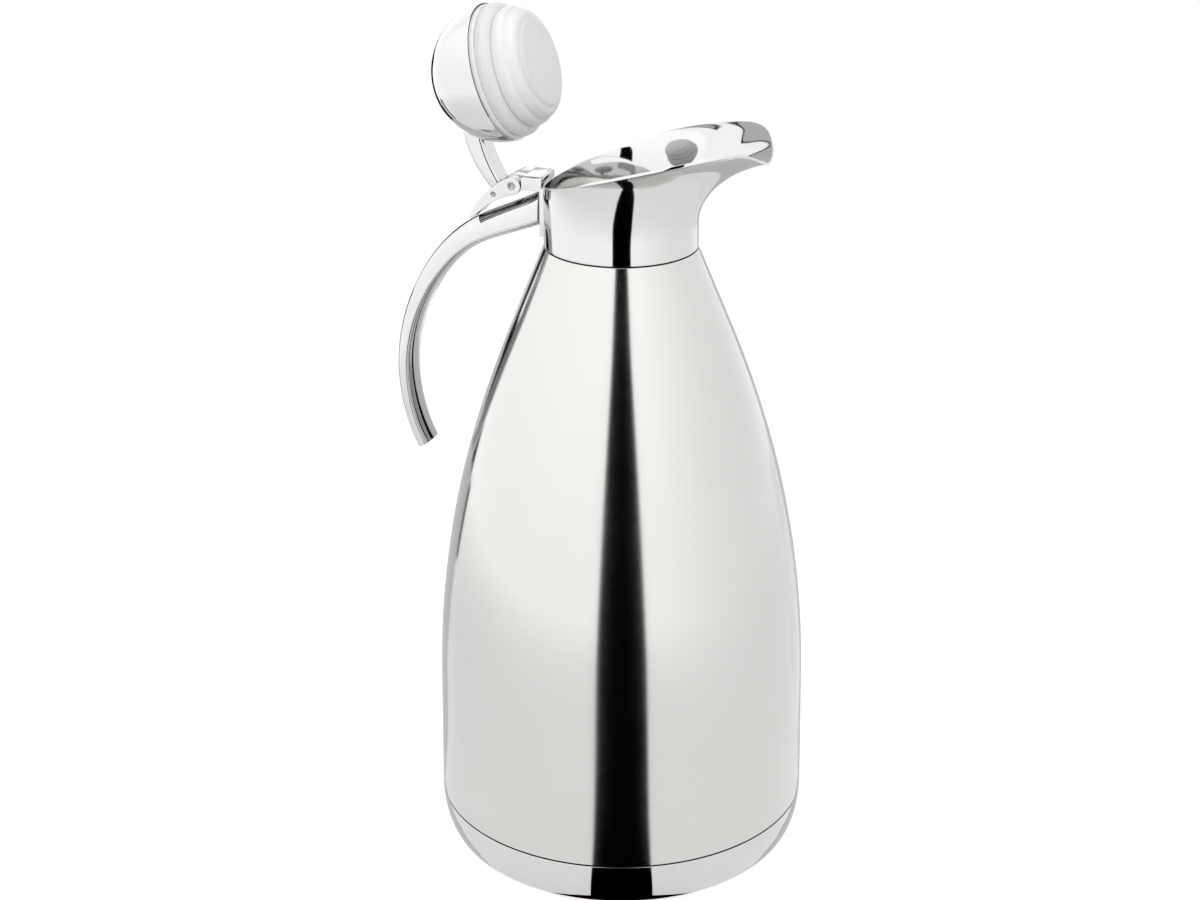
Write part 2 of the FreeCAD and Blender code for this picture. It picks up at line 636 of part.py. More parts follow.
# Thumb lever: a curved fork on the hinge pin, its tail resting on the open handle side
tail_x = HINGE_X + LEVER_TAIL_X
tail_low = (tail_x, crown_z(tail_x) + TAIL_GAP)
LEVER_BAND = outline(
    at_pin((0, EYE_R)),
    (at_pin(LEVER_TOP_MID), at_pin(LEVER_TAIL_TOP)),
    tail_low,
    (at_pin(LEVER_LOW_MID), at_pin((0, -EYE_R))),
    (at_pin((EYE_R, 0)), at_pin((0, EYE_R))))
lever_blank = slab(LEVER_BAND, LEVER_W)
slot = block(HINGE_X + SLOT_END_X, HINGE_X + 2 * EYE_R, SLOT_W, HINGE_Z - 40, HINGE_Z + 40)
thumb_lever = lever_blank.cut(slot)
thumb_lever = thumb_lever.cut(cross_pin(at_pin((0, 0)), PIN_R, 2 * LEVER_W))
thumb_lever = thumb_lever.cut(cross_pin(at_pin(ARM_PIN_AT), ARM_PIN_R, 2 * LEVER_W))
save(thumb_lever, "thumb_lever")

# Pins of the hinge
save(cross_pin(at_pin((0, 0)), PIN_R, LEVER_W), "hinge_pin")
save(cross_pin(at_pin(ARM_PIN_AT), ARM_PIN_R, LEVER_W), "arm_pin")

# Lid arm: from the dome down onto the lever, with a tenon in the lever's slot
DOME_AT = open_place((0, LID_Z))


def on_dome(angle, radius):
    turn = math.radians(angle)
    return open_place((radius * math.cos(turn), LID_Z + radius * math.sin(turn)))


head_back = on_dome(ARM_BACK_ANGLE, DOME_IN_R)
head_front = on_dome(ARM_FRONT_ANGLE, DOME_IN_R)
foot_back = at_pin(ARM_FOOT_BACK)
foot_front = at_pin(ARM_FOOT_FRONT)
arm_face = outline(
    head_back,
    (bowed(head_back, foot_back, ARM_BACK_BOW), foot_back),
    foot_front,
    (bowed(foot_front, head_front, -ARM_FRONT_BOW), head_front))
ball = Part.makeSphere(DOME_R, spot(DOME_AT))
arm_bar = slab(arm_face, ARM_W)
long_edges = [e for e in arm_bar.Edges if e.Curve.TypeId == "Part::GeomCircle"]
lid_arm = arm_bar.makeFillet(ARM_ROUND, long_edges).cut(ball).cut(lever_blank)
tenon_room = block(HINGE_X + SLOT_END_X, HINGE_X + TENON_X, SLOT_W, HINGE_Z - 40, HINGE_Z + 40)
lid_arm = lid_arm.fuse(lever_blank.common(tenon_room))
lid_arm = lid_arm.cut(cross_pin(at_pin(ARM_PIN_AT), ARM_PIN_R, LEVER_W))
lid_arm = lid_arm.cut([opened(s) for s in on_arm_screws(0, SCREW_END, ARM_SCREW_R)])
save(lid_arm.removeSplitter(), "lid_arm")

# Hinge bracket: saddle on the collar, crossbar and lug for the pin, tongue for the handle
SADDLE_R = NECK_R - COLLAR_WALL / 2
SADDLE_OUT_R = NECK_R + SADDLE_T
saddle_face = outline(
    (SADDLE_R, NECK_SEAM_Z + SADDLE_LOW),
    (SADDLE_OUT_R, NECK_SEAM_Z + SADDLE_LOW),
    (SADDLE_OUT_R, NECK_SEAM_Z + SADDLE_TOP),
    (SADDLE_R, NECK_SEAM_Z + SADDLE_TOP))
saddle = turned(saddle_face).common(
    block(-2 * NECK_R, 0, SADDLE_W, NECK_SEAM_Z, NECK_SEAM_Z + 2 * SADDLE_TOP))
crossbar_back = HINGE_X + EYE_R + CROSSBAR_GAP
crossbar = block(crossbar_back, -NECK_R, LEVER_W, HINGE_Z + CROSSBAR_LOW, HINGE_Z + CROSSBAR_TOP)
upper_edges = [e for e in crossbar.Edges if e.CenterOfMass.z > HINGE_Z + CROSSBAR_TOP - CROSSBAR_ROUND]
crossbar = crossbar.makeFillet(CROSSBAR_ROUND, upper_edges)
LUG_W = SLOT_W - 2 * LUG_SIDE
lug = block(HINGE_X, -NECK_R, LUG_W, HINGE_Z + LUG_LOW, HINGE_Z + EYE_R)
lug = lug.fuse(cross_pin(at_pin((0, 0)), EYE_R, LUG_W))
tongue = block(-(NECK_R + TONGUE_L), -NECK_R, TONGUE_W, HINGE_Z + TONGUE_LOW, HINGE_Z + TONGUE_TOP)
neck_room = Part.makeCylinder(SADDLE_R, 2 * BACK_RISE, Vector(0, 0, NECK_SEAM_Z))
hinge_bracket = saddle.fuse([crossbar, lug, tongue]).cut([neck_room, spout_collar])
hinge_bracket = hinge_bracket.cut(cross_pin(at_pin((0, 0)), PIN_R + PIN_RUN, LEVER_W))
SCREW_AT = -(NECK_R + SCREW_X)
SCREW_TOP = HINGE_Z + TONGUE_LOW + SCREW_BITE
SCREW_SEAT_Z = HINGE_Z + TONGUE_LOW - SCREW_WALL
screw_hole = Part.makeCylinder(SCREW_R, SCREW_TOP - SCREW_SEAT_Z, Vector(SCREW_AT, 0, SCREW_SEAT_Z))
hinge_bracket = hinge_bracket.cut(screw_hole).removeSplitter()
save(hinge_bracket, "hinge_bracket")

# Handle screw: from below through the handle into the tongue
screw_head = Part.makeCylinder(SCREW_HEAD_R, SCREW_HEAD_T,
                               Vector(SCREW_AT, 0, SCREW_SEAT_Z - SCREW_HEAD_T))
save(screw_head.fuse(screw_hole).removeSplitter(), "handle_screw")

# Handle: rounded sections along the crown, thick at the neck and thin at the free end
HANDLE_STEPS = 10
SECTION_POINTS = 20


def handle_section(share):
    here = crown.parameterAtDistance(crown.length() * share, crown.FirstParameter)
    top = crown.value(here)
    way = crown.tangent(here)[0]
    inward = Vector(-way.z, 0, way.x)
    thick = HANDLE_TIP_T + (HANDLE_ROOT_T - HANDLE_TIP_T) * (1 - share) ** HANDLE_THINNING
    half = LEVER_W / 2 + HANDLE_PROUD - HANDLE_SLIM * share
    points = []
    for i in range(SECTION_POINTS):
        turn = 2 * math.pi * i / SECTION_POINTS
        c = math.cos(turn)
        s = math.sin(turn)
        rise = HANDLE_BACK_SHARE if s > 0 else 1 - HANDLE_BACK_SHARE
        power = 1.0 if s > 0 else HANDLE_FRONT_POWER
        across = half * math.copysign(abs(c) ** HANDLE_SIDE_POWER, c)
        depth = thick * (HANDLE_BACK_SHARE - rise * math.copysign(abs(s) ** power, s))
        points.append(top.add(Vector(inward).multiply(depth)).add(Vector(0, across, 0)))
    return loop(points)


sections = [handle_section(i / HANDLE_STEPS) for i in range(HANDLE_STEPS + 1)]
handle = Part.makeLoft(sections, True, False)
root_room = Part.makeCylinder(SADDLE_OUT_R + SEAT_FIT, 4 * BACK_RISE, Vector(0, 0, NECK_SEAM_Z - BACK_RISE))
tongue_room = block(-(NECK_R + TONGUE_L + SEAT_FIT), -NECK_R, TONGUE_W + 2 * SEAT_FIT,
                    HINGE_Z + TONGUE_LOW, HINGE_Z + TONGUE_TOP + SEAT_FIT)
head_hole = Part.makeCylinder(SCREW_HEAD_R + SEAT_FIT, 4 * SCREW_HEAD_T,
                              Vector(SCREW_AT, 0, SCREW_SEAT_Z - 4 * SCREW_HEAD_T))
shank_hole = Part.makeCylinder(SCREW_R + SEAT_FIT, 2 * SCREW_WALL, Vector(SCREW_AT, 0, SCREW_SEAT_Z))
handle = handle.cut([root_room, tongue_room, head_hole, shank_hole])
save(handle, "handle")
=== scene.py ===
import math

import bmesh
import bpy
from mathutils import Matrix, Vector


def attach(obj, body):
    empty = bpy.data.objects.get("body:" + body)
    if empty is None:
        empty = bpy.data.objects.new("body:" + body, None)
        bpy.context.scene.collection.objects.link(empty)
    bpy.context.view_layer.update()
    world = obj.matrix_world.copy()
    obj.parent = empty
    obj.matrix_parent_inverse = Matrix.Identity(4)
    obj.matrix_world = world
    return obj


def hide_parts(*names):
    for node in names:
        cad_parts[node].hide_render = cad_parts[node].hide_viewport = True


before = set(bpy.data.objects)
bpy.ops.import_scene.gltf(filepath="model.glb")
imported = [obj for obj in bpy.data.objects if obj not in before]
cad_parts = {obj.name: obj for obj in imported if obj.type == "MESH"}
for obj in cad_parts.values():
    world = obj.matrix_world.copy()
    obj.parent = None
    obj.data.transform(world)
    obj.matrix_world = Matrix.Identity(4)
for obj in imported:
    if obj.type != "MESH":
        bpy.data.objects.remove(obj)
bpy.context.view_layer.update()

# Inner flask
# The bottle that holds the drink, deep drawn from thin stainless sheet. Its walls follow the
# outer shell at the width of the vacuum, and its mouth ends in a cone on which the stopper seats.
MM = 0.001
BODY_R = 70.0            # millimetres, as all sizes in this file
BASE_SEAM = 19.3
NECK_R = 28.0
NECK_SEAM = 236.0
BODY_TAPER = math.radians(0.8)
SHOULDER_CONE = math.radians(22.5)
SHOULDER_R = 375.0
SHELL_WALL = 0.8
VACUUM_GAP = 4.0
FLASK_WALL = 0.6
FLASK_FLOOR = 19.6
FLASK_CORNER_R = 12.0
MOUTH_R = 23.0
TUBE_R = 26.95           # the shell's neck tube, which fits into the collar
SEAT_APEX = 219.65       # where the 45 degree seat would meet the axis
LATHE_STEPS = 224
ARC_STEPS = 40
CORNER_STEPS = 16
ROUND_STEPS = 6
SIDE_SHARE = 0.45        # the most of a side that one rounding takes
GUARD_AT = 1.1           # where a rounding's extra points lie, times its reach


def srgb(code):
    parts = [int(code[i:i + 2], 16) / 255 for i in (0, 2, 4)]
    return [p / 12.92 if p <= 0.04045 else ((p + 0.055) / 1.055) ** 2.4 for p in parts] + [1.0]


def feed(tree, node, inputs):
    # Fills a node's inputs; each gets a value, a socket or a node, whose first output is used.
    pairs = inputs.items() if isinstance(inputs, dict) else enumerate(inputs)
    for key, value in pairs:
        if isinstance(value, bpy.types.Node):
            value = value.outputs[0]
        if isinstance(value, bpy.types.NodeSocket):
            tree.links.new(value, node.inputs[key])
        else:
            node.inputs[key].default_value = value


def add_node(tree, kind, inputs=(), **settings):
    node = tree.nodes.new(kind)
    for name, value in settings.items():
        setattr(node, name, value)
    feed(tree, node, inputs)
    return node


def start_material(name):
    material = bpy.data.materials.new(name)
    material.use_nodes = True
    return material, material.node_tree, material.node_tree.nodes["Principled BSDF"]


def new_piece(name, mesh):
    piece = bpy.data.objects.new(name, mesh)
    bpy.context.scene.collection.objects.link(piece)
    return piece


def shade(mesh, sharp=35.0):
    mesh.shade_smooth()
    mesh.set_sharp_from_angle(angle=math.radians(sharp))


def side_arc(depth):
    # The shoulder's arc between the leaning wall and the cone, at this depth under the outside.
    radius = SHOULDER_R - depth
    points = []
    for i in range(ARC_STEPS + 1):
        turn = BODY_TAPER + (SHOULDER_CONE - BODY_TAPER) * i / ARC_STEPS
        points.append((ARC_CENTRE[0] + radius * math.cos(turn), ARC_CENTRE[1] + radius * math.sin(turn)))
    return points


lean = math.tan(BODY_TAPER)
slope = math.tan(SHOULDER_CONE)
corner_z = (NECK_R - BODY_R + NECK_SEAM * slope - BASE_SEAM * lean) / (slope - lean)
corner_r = NECK_R + (NECK_SEAM - corner_z) * slope
tangent = SHOULDER_R * math.tan((SHOULDER_CONE - BODY_TAPER) / 2)
arc_low = (corner_r + tangent * math.sin(BODY_TAPER), corner_z - tangent * math.cos(BODY_TAPER))
ARC_CENTRE = (arc_low[0] - SHOULDER_R * math.cos(BODY_TAPER),
              arc_low[1] - SHOULDER_R * math.sin(BODY_TAPER))


def wall_r(z, depth):
    low = side_arc(depth)[0]
    return low[0] - (z - low[1]) * lean


def cone_r(z, depth):
    high = side_arc(depth)[-1]
    return high[0] - (z - high[1]) * slope


def cone_z(r, depth):
    high = side_arc(depth)[-1]
    return high[1] - (r - high[0]) / slope


def round_corner(before, corner, after, radius):
    # Points of an arc that rounds a corner, with one point more on each side to keep the shading flat.
    corner = Vector(corner)
    a = Vector(before) - corner
    b = Vector(after) - corner
    angle = a.angle(b)
    reach = min(radius / math.tan(angle / 2), SIDE_SHARE * a.length, SIDE_SHARE * b.length)
    size = reach * math.tan(angle / 2)
    a.normalize()
    b.normalize()
    centre = corner + (a + b).normalized() * (size / math.sin(angle / 2))
    first = (corner + a * reach - centre).normalized()
    last = (corner + b * reach - centre).normalized()
    points = [corner + a * reach * GUARD_AT]
    for i in range(ROUND_STEPS + 1):
        points.append(centre + first.slerp(last, i / ROUND_STEPS) * size)
    points.append(corner + b * reach * GUARD_AT)
    return [tuple(p) for p in points]


def eased(corners):
    # A closed outline whose corners (radius, height, rounding) are rounded; plain points stay.
    points = []
    for i, corner in enumerate(corners):
        if len(corner) == 2:
            points.append(corner)
        else:
            before = corners[i - 1][:2]
            after = corners[(i + 1) % len(corners)][:2]
            points += round_corner(before, corner[:2], after, corner[2])
    return points


def lathe(name, outline, steps=LATHE_STEPS):
    # Spins a closed outline of (radius, height) about the Z axis.
    made = bmesh.new()
    turns = [2 * math.pi * i / steps for i in range(steps)]
    rings = []
    for radius, height in outline:
        if radius < 1e-6:
            rings.append([made.verts.new((0, 0, height * MM))])
        else:
            r = radius * MM
            rings.append([made.verts.new((r * math.cos(t), r * math.sin(t), height * MM))
                          for t in turns])
    for here, there in zip(rings, rings[1:] + rings[:1]):
        if len(here) == 1 and len(there) == 1:
            continue
        for i in range(steps):
            j = (i + 1) % steps
            corners = [here[i % len(here)], there[i % len(there)],
                       there[j % len(there)], here[j % len(here)]]
            made.faces.new(list(dict.fromkeys(corners)))
    bmesh.ops.recalc_face_normals(made, faces=made.faces)
    mesh = bpy.data.meshes.new(name)
    made.to_mesh(mesh)
    made.free()
    shade(mesh)
    return new_piece(name, mesh)


# Drawn stainless sheet: a grey metal with fine lines around the axis, left by the drawing tool.
drawn_steel, tree, shader = start_material("drawn_stainless_sheet")
DRAW_LINE = 0.6          # spacing of the draw lines
place = add_node(tree, "ShaderNodeTexCoord")
lines = add_node(tree, "ShaderNodeMapping",
                 {0: place.outputs["Object"], "Scale": (6, 6, 1000 / DRAW_LINE)})
grain = add_node(tree, "ShaderNodeTexNoise", {"Vector": lines, "Scale": 1.0, "Detail": 3.0})
rough = add_node(tree, "ShaderNodeMapRange", {0: grain, 3: 0.20, 4: 0.34})
bump = add_node(tree, "ShaderNodeBump", {"Height": grain, "Strength": 0.15, "Distance": 0.00002})
feed(tree, shader, {"Base Color": srgb("BEBEBC"), "Metallic": 1.0, "Roughness": rough,
                    "Normal": bump})

flask_out = SHELL_WALL + VACUUM_GAP
flask_in = flask_out + FLASK_WALL
mouth_out = MOUTH_R + FLASK_WALL
side_z = FLASK_FLOOR + FLASK_CORNER_R
floor_r = wall_r(side_z, flask_out) - FLASK_CORNER_R
tube_in = TUBE_R - SHELL_WALL
seat_lip = FLASK_WALL * math.sqrt(2)


def flask_corner(radius):
    turns = [math.pi / 2 * i / CORNER_STEPS for i in range(CORNER_STEPS + 1)]
    return [(floor_r + radius * math.sin(t), side_z - radius * math.cos(t)) for t in turns]


flask = lathe("flask", eased(
    [(0, FLASK_FLOOR)] + flask_corner(FLASK_CORNER_R) + side_arc(flask_out)
    + [(mouth_out, cone_z(mouth_out, flask_out)),
       (mouth_out, SEAT_APEX + mouth_out - seat_lip),
       (tube_in, SEAT_APEX + tube_in - seat_lip),
       (TUBE_R, SEAT_APEX + tube_in - seat_lip),
       (TUBE_R, SEAT_APEX + tube_in, 0.3),
       (tube_in, SEAT_APEX + tube_in, 0.4),
       (MOUTH_R, SEAT_APEX + MOUTH_R, 0.6),
       (MOUTH_R, cone_z(MOUTH_R, flask_in), 2.0)]
    + side_arc(flask_in)[::-1] + flask_corner(FLASK_CORNER_R - FLASK_WALL)[::-1]
    + [(0, FLASK_FLOOR + FLASK_WALL)]))
flask.data.materials.append(drawn_steel)
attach(flask, "jug")
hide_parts("inner_flask")


# Radiation foil and getter
# Bright foil wound on the flask inside the vacuum, and a sintered tablet under the flask's floor
# that takes up stray gas. Both are sealed in and never seen once the shell is welded.
def dress(node, material):
    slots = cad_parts[node].data.materials
    slots.clear()
    slots.append(material)


# Aluminium foil: bright, with soft creases a few millimetres apart.
foil_metal, tree, shader = start_material("creased_aluminium_foil")
CREASE = 7.0
place = add_node(tree, "ShaderNodeTexCoord")
crease = add_node(tree, "ShaderNodeTexVoronoi",
                  {"Vector": place.outputs["Object"], "Scale": 1000 / CREASE},
                  feature="DISTANCE_TO_EDGE")
bump = add_node(tree, "ShaderNodeBump", {"Height": crease, "Strength": 0.6, "Distance": 0.0003})
rough = add_node(tree, "ShaderNodeMapRange", {0: crease, 3: 0.28, 4: 0.14})
feed(tree, shader, {"Base Color": srgb("E9E9EA"), "Metallic": 1.0, "Roughness": rough,
                    "Normal": bump})
dress("radiation_foil", foil_metal)

# Sintered getter metal: dark grey, dull and grainy.
getter_metal, tree, shader = start_material("sintered_getter")
GRAIN = 0.35
place = add_node(tree, "ShaderNodeTexCoord")
grain = add_node(tree, "ShaderNodeTexNoise",
                 {"Vector": place.outputs["Object"], "Scale": 1000 / GRAIN, "Detail": 2.0})
tint = add_node(tree, "ShaderNodeValToRGB", [grain])
tint.color_ramp.elements[0].color = srgb("5C5C5E")
tint.color_ramp.elements[1].color = srgb("8A8A8B")
bump = add_node(tree, "ShaderNodeBump", {"Height": grain, "Strength": 0.5, "Distance": 0.0001})
feed(tree, shader, {"Base Color": tint, "Normal": bump, "Metallic": 0.85, "Roughness": 0.62})
dress("getter", getter_metal)

# Outer shell
# The tapered steel body, spun from one sheet. It steps in at the neck, where the collar slips on,
# and at the base, where it drops into the foot cup. The outside has a fine satin finish.
SKIRT_R = 68.6
SKIRT_DROP = 7.0
SEAM_ROUND = 0.2         # eased edges along both seams
SEAM_GAP = 0.55          # the open joint between them
SEAM_WALL = 8.0          # straight wall beside each seam, for the rounding
# Painted shade: the dark tone that stands in for shade in the seams and along the dome's rim.
PAINTED_SHADE_TONE = "4A4A49"

# Satin stainless: almost a mirror, softened by very fine lines around the body; painted dark where
# the cup and the collar cover it, as painted shade that shows as a line along the seams.
satin_steel, tree, shader = start_material("satin_stainless")
SATIN_LINE = 0.35        # real lines are finer; drawn so that they just show
CLOUD = 45.0             # size of the faint clouds in the polish
# Bounds of the painted shade in the seams, in the skirt and under the neck.
PAINTED_SHADE_LOW = BASE_SEAM + 0.1
PAINTED_SHADE_SKIRT_R = BODY_R - 0.25
PAINTED_SHADE_HIGH = NECK_SEAM - 0.1
PAINTED_SHADE_NECK_R = NECK_R - 0.2
place = add_node(tree, "ShaderNodeTexCoord")
lines = add_node(tree, "ShaderNodeMapping",
                 {0: place.outputs["Object"], "Scale": (9, 9, 1000 / SATIN_LINE)})
grain = add_node(tree, "ShaderNodeTexNoise", {"Vector": lines, "Scale": 1.0, "Detail": 4.0})
cloud = add_node(tree, "ShaderNodeTexNoise",
                 {"Vector": place.outputs["Object"], "Scale": 1000 / CLOUD, "Detail": 2.0})
both = add_node(tree, "ShaderNodeMath", [grain, cloud], operation="ADD")
rough = add_node(tree, "ShaderNodeMapRange", {0: both, 1: 0.6, 2: 1.4, 3: 0.095, 4: 0.135})
bump = add_node(tree, "ShaderNodeBump", {"Height": grain, "Strength": 0.05, "Distance": 0.00001})
tint = add_node(tree, "ShaderNodeValToRGB", [cloud])
tint.color_ramp.elements[0].color = srgb("C4C4C2")
tint.color_ramp.elements[1].color = srgb("C9C9C7")
spot = add_node(tree, "ShaderNodeSeparateXYZ", [place.outputs["Object"]])
flat = add_node(tree, "ShaderNodeCombineXYZ", [spot.outputs[0], spot.outputs[1], 0.0])
radius = add_node(tree, "ShaderNodeVectorMath", [flat], operation="LENGTH").outputs["Value"]
# Painted shade: a mask for the dark line in the seams, low in the skirt and high in the neck.
low = add_node(tree, "ShaderNodeMath", [spot.outputs[2], PAINTED_SHADE_LOW * MM], operation="LESS_THAN")
skirt = add_node(tree, "ShaderNodeMath", [radius, PAINTED_SHADE_SKIRT_R * MM], operation="LESS_THAN")
high = add_node(tree, "ShaderNodeMath", [spot.outputs[2], PAINTED_SHADE_HIGH * MM], operation="GREATER_THAN")
neck = add_node(tree, "ShaderNodeMath", [radius, PAINTED_SHADE_NECK_R * MM], operation="LESS_THAN")
low_shade = add_node(tree, "ShaderNodeMath", [low, skirt], operation="MULTIPLY")
high_shade = add_node(tree, "ShaderNodeMath", [high, neck], operation="MULTIPLY")
painted_shade = add_node(tree, "ShaderNodeMath", [low_shade, high_shade], operation="MAXIMUM")
tint = add_node(tree, "ShaderNodeMix", {0: painted_shade, 6: tint, 7: srgb(PAINTED_SHADE_TONE)}, data_type="RGBA")
feed(tree, shader, {"Metallic": 1.0, "Base Color": tint.outputs[2], "Roughness": rough,
                    "Normal": bump})

skirt_z = BASE_SEAM - SKIRT_DROP
ledge_z = NECK_SEAM - SHELL_WALL
tube_top = SEAT_APEX + tube_in - seat_lip
shell = lathe("body_shell", eased(
    [(SKIRT_R, skirt_z), (SKIRT_R, BASE_SEAM),
     (wall_r(BASE_SEAM, 0), BASE_SEAM, SEAM_ROUND),
     (wall_r(BASE_SEAM + SEAM_WALL, 0), BASE_SEAM + SEAM_WALL)]
    + side_arc(0)
    + [(cone_r(NECK_SEAM - SEAM_WALL, 0), NECK_SEAM - SEAM_WALL),
       (NECK_R, NECK_SEAM, SEAM_ROUND),
       (TUBE_R, NECK_SEAM),
       (TUBE_R, tube_top), (tube_in, tube_top), (tube_in, ledge_z),
       (cone_r(ledge_z, SHELL_WALL), ledge_z)]
    + side_arc(SHELL_WALL)[::-1]
    + [(wall_r(BASE_SEAM + SHELL_WALL, SHELL_WALL), BASE_SEAM + SHELL_WALL),
       (SKIRT_R - SHELL_WALL, BASE_SEAM + SHELL_WALL),
       (SKIRT_R - SHELL_WALL, skirt_z)]))
shell.data.materials.append(satin_steel)
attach(shell, "jug")
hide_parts("outer_shell")

# Vacuum base and pinch-off tube
# A dished plate welded into the skirt closes the vacuum space. The copper tube in its middle, through
# which the space was pumped out, is squeezed flat and shut.

# Spun sheet: rings around the middle, a dull grey.
spun_steel, tree, shader = start_material("spun_stainless_sheet")
SPIN_RING = 1.2          # times two pi, the spacing of the rings
WAVE_TURN = 20           # radians that the texture turns by in one unit of its scale
place = add_node(tree, "ShaderNodeTexCoord")
rings = add_node(tree, "ShaderNodeTexWave",
                 {"Vector": place.outputs["Object"], "Scale": 1000 / SPIN_RING / WAVE_TURN,
                  "Distortion": 1.5},
                 wave_type="RINGS", rings_direction="Z")
rough = add_node(tree, "ShaderNodeMapRange", {0: rings.outputs["Fac"], 3: 0.26, 4: 0.38})
feed(tree, shader, {"Base Color": srgb("C6C6C4"), "Metallic": 1.0, "Roughness": rough})
dress("vacuum_base", spun_steel)

# Copper: warm, with darker spots where the heat of brazing has tarnished it.
copper, tree, shader = start_material("brazed_copper")
TARNISH = 3.0
place = add_node(tree, "ShaderNodeTexCoord")
spots = add_node(tree, "ShaderNodeTexNoise",
                 {"Vector": place.outputs["Object"], "Scale": 1000 / TARNISH, "Detail": 3.0})
tint = add_node(tree, "ShaderNodeValToRGB", [spots])
tint.color_ramp.elements[0].color = srgb("A8613F")
tint.color_ramp.elements[1].color = srgb("E0A184")
feed(tree, shader, {"Metallic": 1.0, "Roughness": 0.33, "Base Color": tint})
dress("pinch_off_tube", copper)

# Foot cup
# A shallow polished cup pressed onto the skirt. Its corner is a quarter ellipse that runs into a flat
# standing ring, and the middle is raised clear of the table.
FOOT_R = 61.8
FOOT_RING_W = 9.0
FOOT_RECESS = 2.0
CUP_WALL = 0.8
FOOT_STEPS = 32

# Mirror polished stainless: sharp reflections, with a faint haze from wiping. The cup's edge under
# the seam and the dome's along the upper part of its rim carry a painted shade line.
mirror_steel, tree, shader = start_material("mirror_polished_stainless")
WIPE = 30.0
OPEN_ANGLE = math.radians(108.0)     # the lid is shown open
RIM_WAY = (math.sin(OPEN_ANGLE), 0.0, -math.cos(OPEN_ANGLE))     # out of the open dome
RIM_AT = 48.54           # its rim, measured that way from the middle of the jug's foot
RIM_LINE = 0.06          # half the width of the painted shade line there
RIM_FROM = 285.0         # only drawn above this height, as the same plane cuts the collar and the cup
place = add_node(tree, "ShaderNodeTexCoord")
haze = add_node(tree, "ShaderNodeTexNoise",
                {"Vector": place.outputs["Object"], "Scale": 1000 / WIPE,
                 "Detail": 3.0, "Distortion": 0.6})
rough = add_node(tree, "ShaderNodeMapRange", {0: haze, 1: 0.3, 2: 0.7, 3: 0.045, 4: 0.085})
tint = add_node(tree, "ShaderNodeValToRGB", [haze])
tint.color_ramp.elements[0].color = srgb("C6C6C5")
tint.color_ramp.elements[1].color = srgb("CBCBCA")
spot = add_node(tree, "ShaderNodeSeparateXYZ", [place.outputs["Object"]])
# Painted shade: a dark line on the cup's edge under the seam and along the upper part of the dome's rim.
cut = add_node(tree, "ShaderNodeMath",
               [spot.outputs[2], BASE_SEAM * MM, (SEAM_GAP + 0.05) * MM], operation="COMPARE")
along = add_node(tree, "ShaderNodeVectorMath",
                 [place.outputs["Object"], RIM_WAY], operation="DOT_PRODUCT")
edge = add_node(tree, "ShaderNodeMath",
                [along.outputs["Value"], RIM_AT * MM, RIM_LINE * MM], operation="COMPARE")
high = add_node(tree, "ShaderNodeMath", [spot.outputs[2], RIM_FROM * MM], operation="GREATER_THAN")
edge = add_node(tree, "ShaderNodeMath", [edge, high], operation="MULTIPLY")
cut = add_node(tree, "ShaderNodeMath", [cut, edge], operation="MAXIMUM")
tint = add_node(tree, "ShaderNodeMix", {0: cut, 6: tint, 7: srgb(PAINTED_SHADE_TONE)}, data_type="RGBA")
feed(tree, shader, {"Metallic": 1.0, "Base Color": tint.outputs[2], "Roughness": rough})


def foot_quarter(radial, upright):
    return [(FOOT_R + radial * math.cos(t), BASE_SEAM - upright * math.sin(t))
            for t in [math.pi / 2 * i / FOOT_STEPS for i in range(1, FOOT_STEPS + 1)]]


ring_in = FOOT_R - FOOT_RING_W
cup = lathe("foot_cup", eased(
    [(BODY_R, BASE_SEAM - SEAM_GAP, SEAM_ROUND)] + foot_quarter(BODY_R - FOOT_R, BASE_SEAM)[1:]
    + [(ring_in, 0, 0.6), (ring_in - FOOT_RECESS, FOOT_RECESS, 1.2),
       (0, FOOT_RECESS), (0, FOOT_RECESS + CUP_WALL),
       (ring_in - FOOT_RECESS, FOOT_RECESS + CUP_WALL), (ring_in, CUP_WALL)]
    + foot_quarter(BODY_R - FOOT_R - CUP_WALL, BASE_SEAM - CUP_WALL)[::-1]
    + [(BODY_R - CUP_WALL, BASE_SEAM - SEAM_GAP)]))
cup.data.materials.append(mirror_steel)
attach(cup, "jug")
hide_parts("base_cup")

# Spout collar
# The polished pouring collar: a straight sleeve on the neck that flares into an oval rim, low at the
# hinge and high at the front, where the lip droops. It is drawn from one millimetre sheet.
COLLAR_SIZES = {
    "Neck radius": NECK_R, "Seam height": NECK_SEAM + SEAM_GAP, "Sleeve height": 7.9 - SEAM_GAP,
    "Back rise": 21.0, "Crest rise": 42.4, "Lip dip": 8.3, "Lip sharpness": 23.0, "Lip reach": 26.6,
    "Lip sweep": math.radians(70.0), "Rim climb": 1.43, "Rim widen": 0.042,
}
COLLAR_WALL = 1.0
SLEEVE_SHARE = 0.16      # share of the mesh rows that the sleeve takes


def start_tree(name, sizes):
    # An empty geometry tree with named inputs for the sizes and one for the material.
    tree = bpy.data.node_groups.new(name, "GeometryNodeTree")
    tree.interface.new_socket("Geometry", in_out="INPUT", socket_type="NodeSocketGeometry")
    for size in sizes:
        tree.interface.new_socket(size, in_out="INPUT", socket_type="NodeSocketFloat")
    tree.interface.new_socket("Material", in_out="INPUT", socket_type="NodeSocketMaterial")
    tree.interface.new_socket("Geometry", in_out="OUTPUT", socket_type="NodeSocketGeometry")
    return tree, tree.nodes.new("NodeGroupInput").outputs


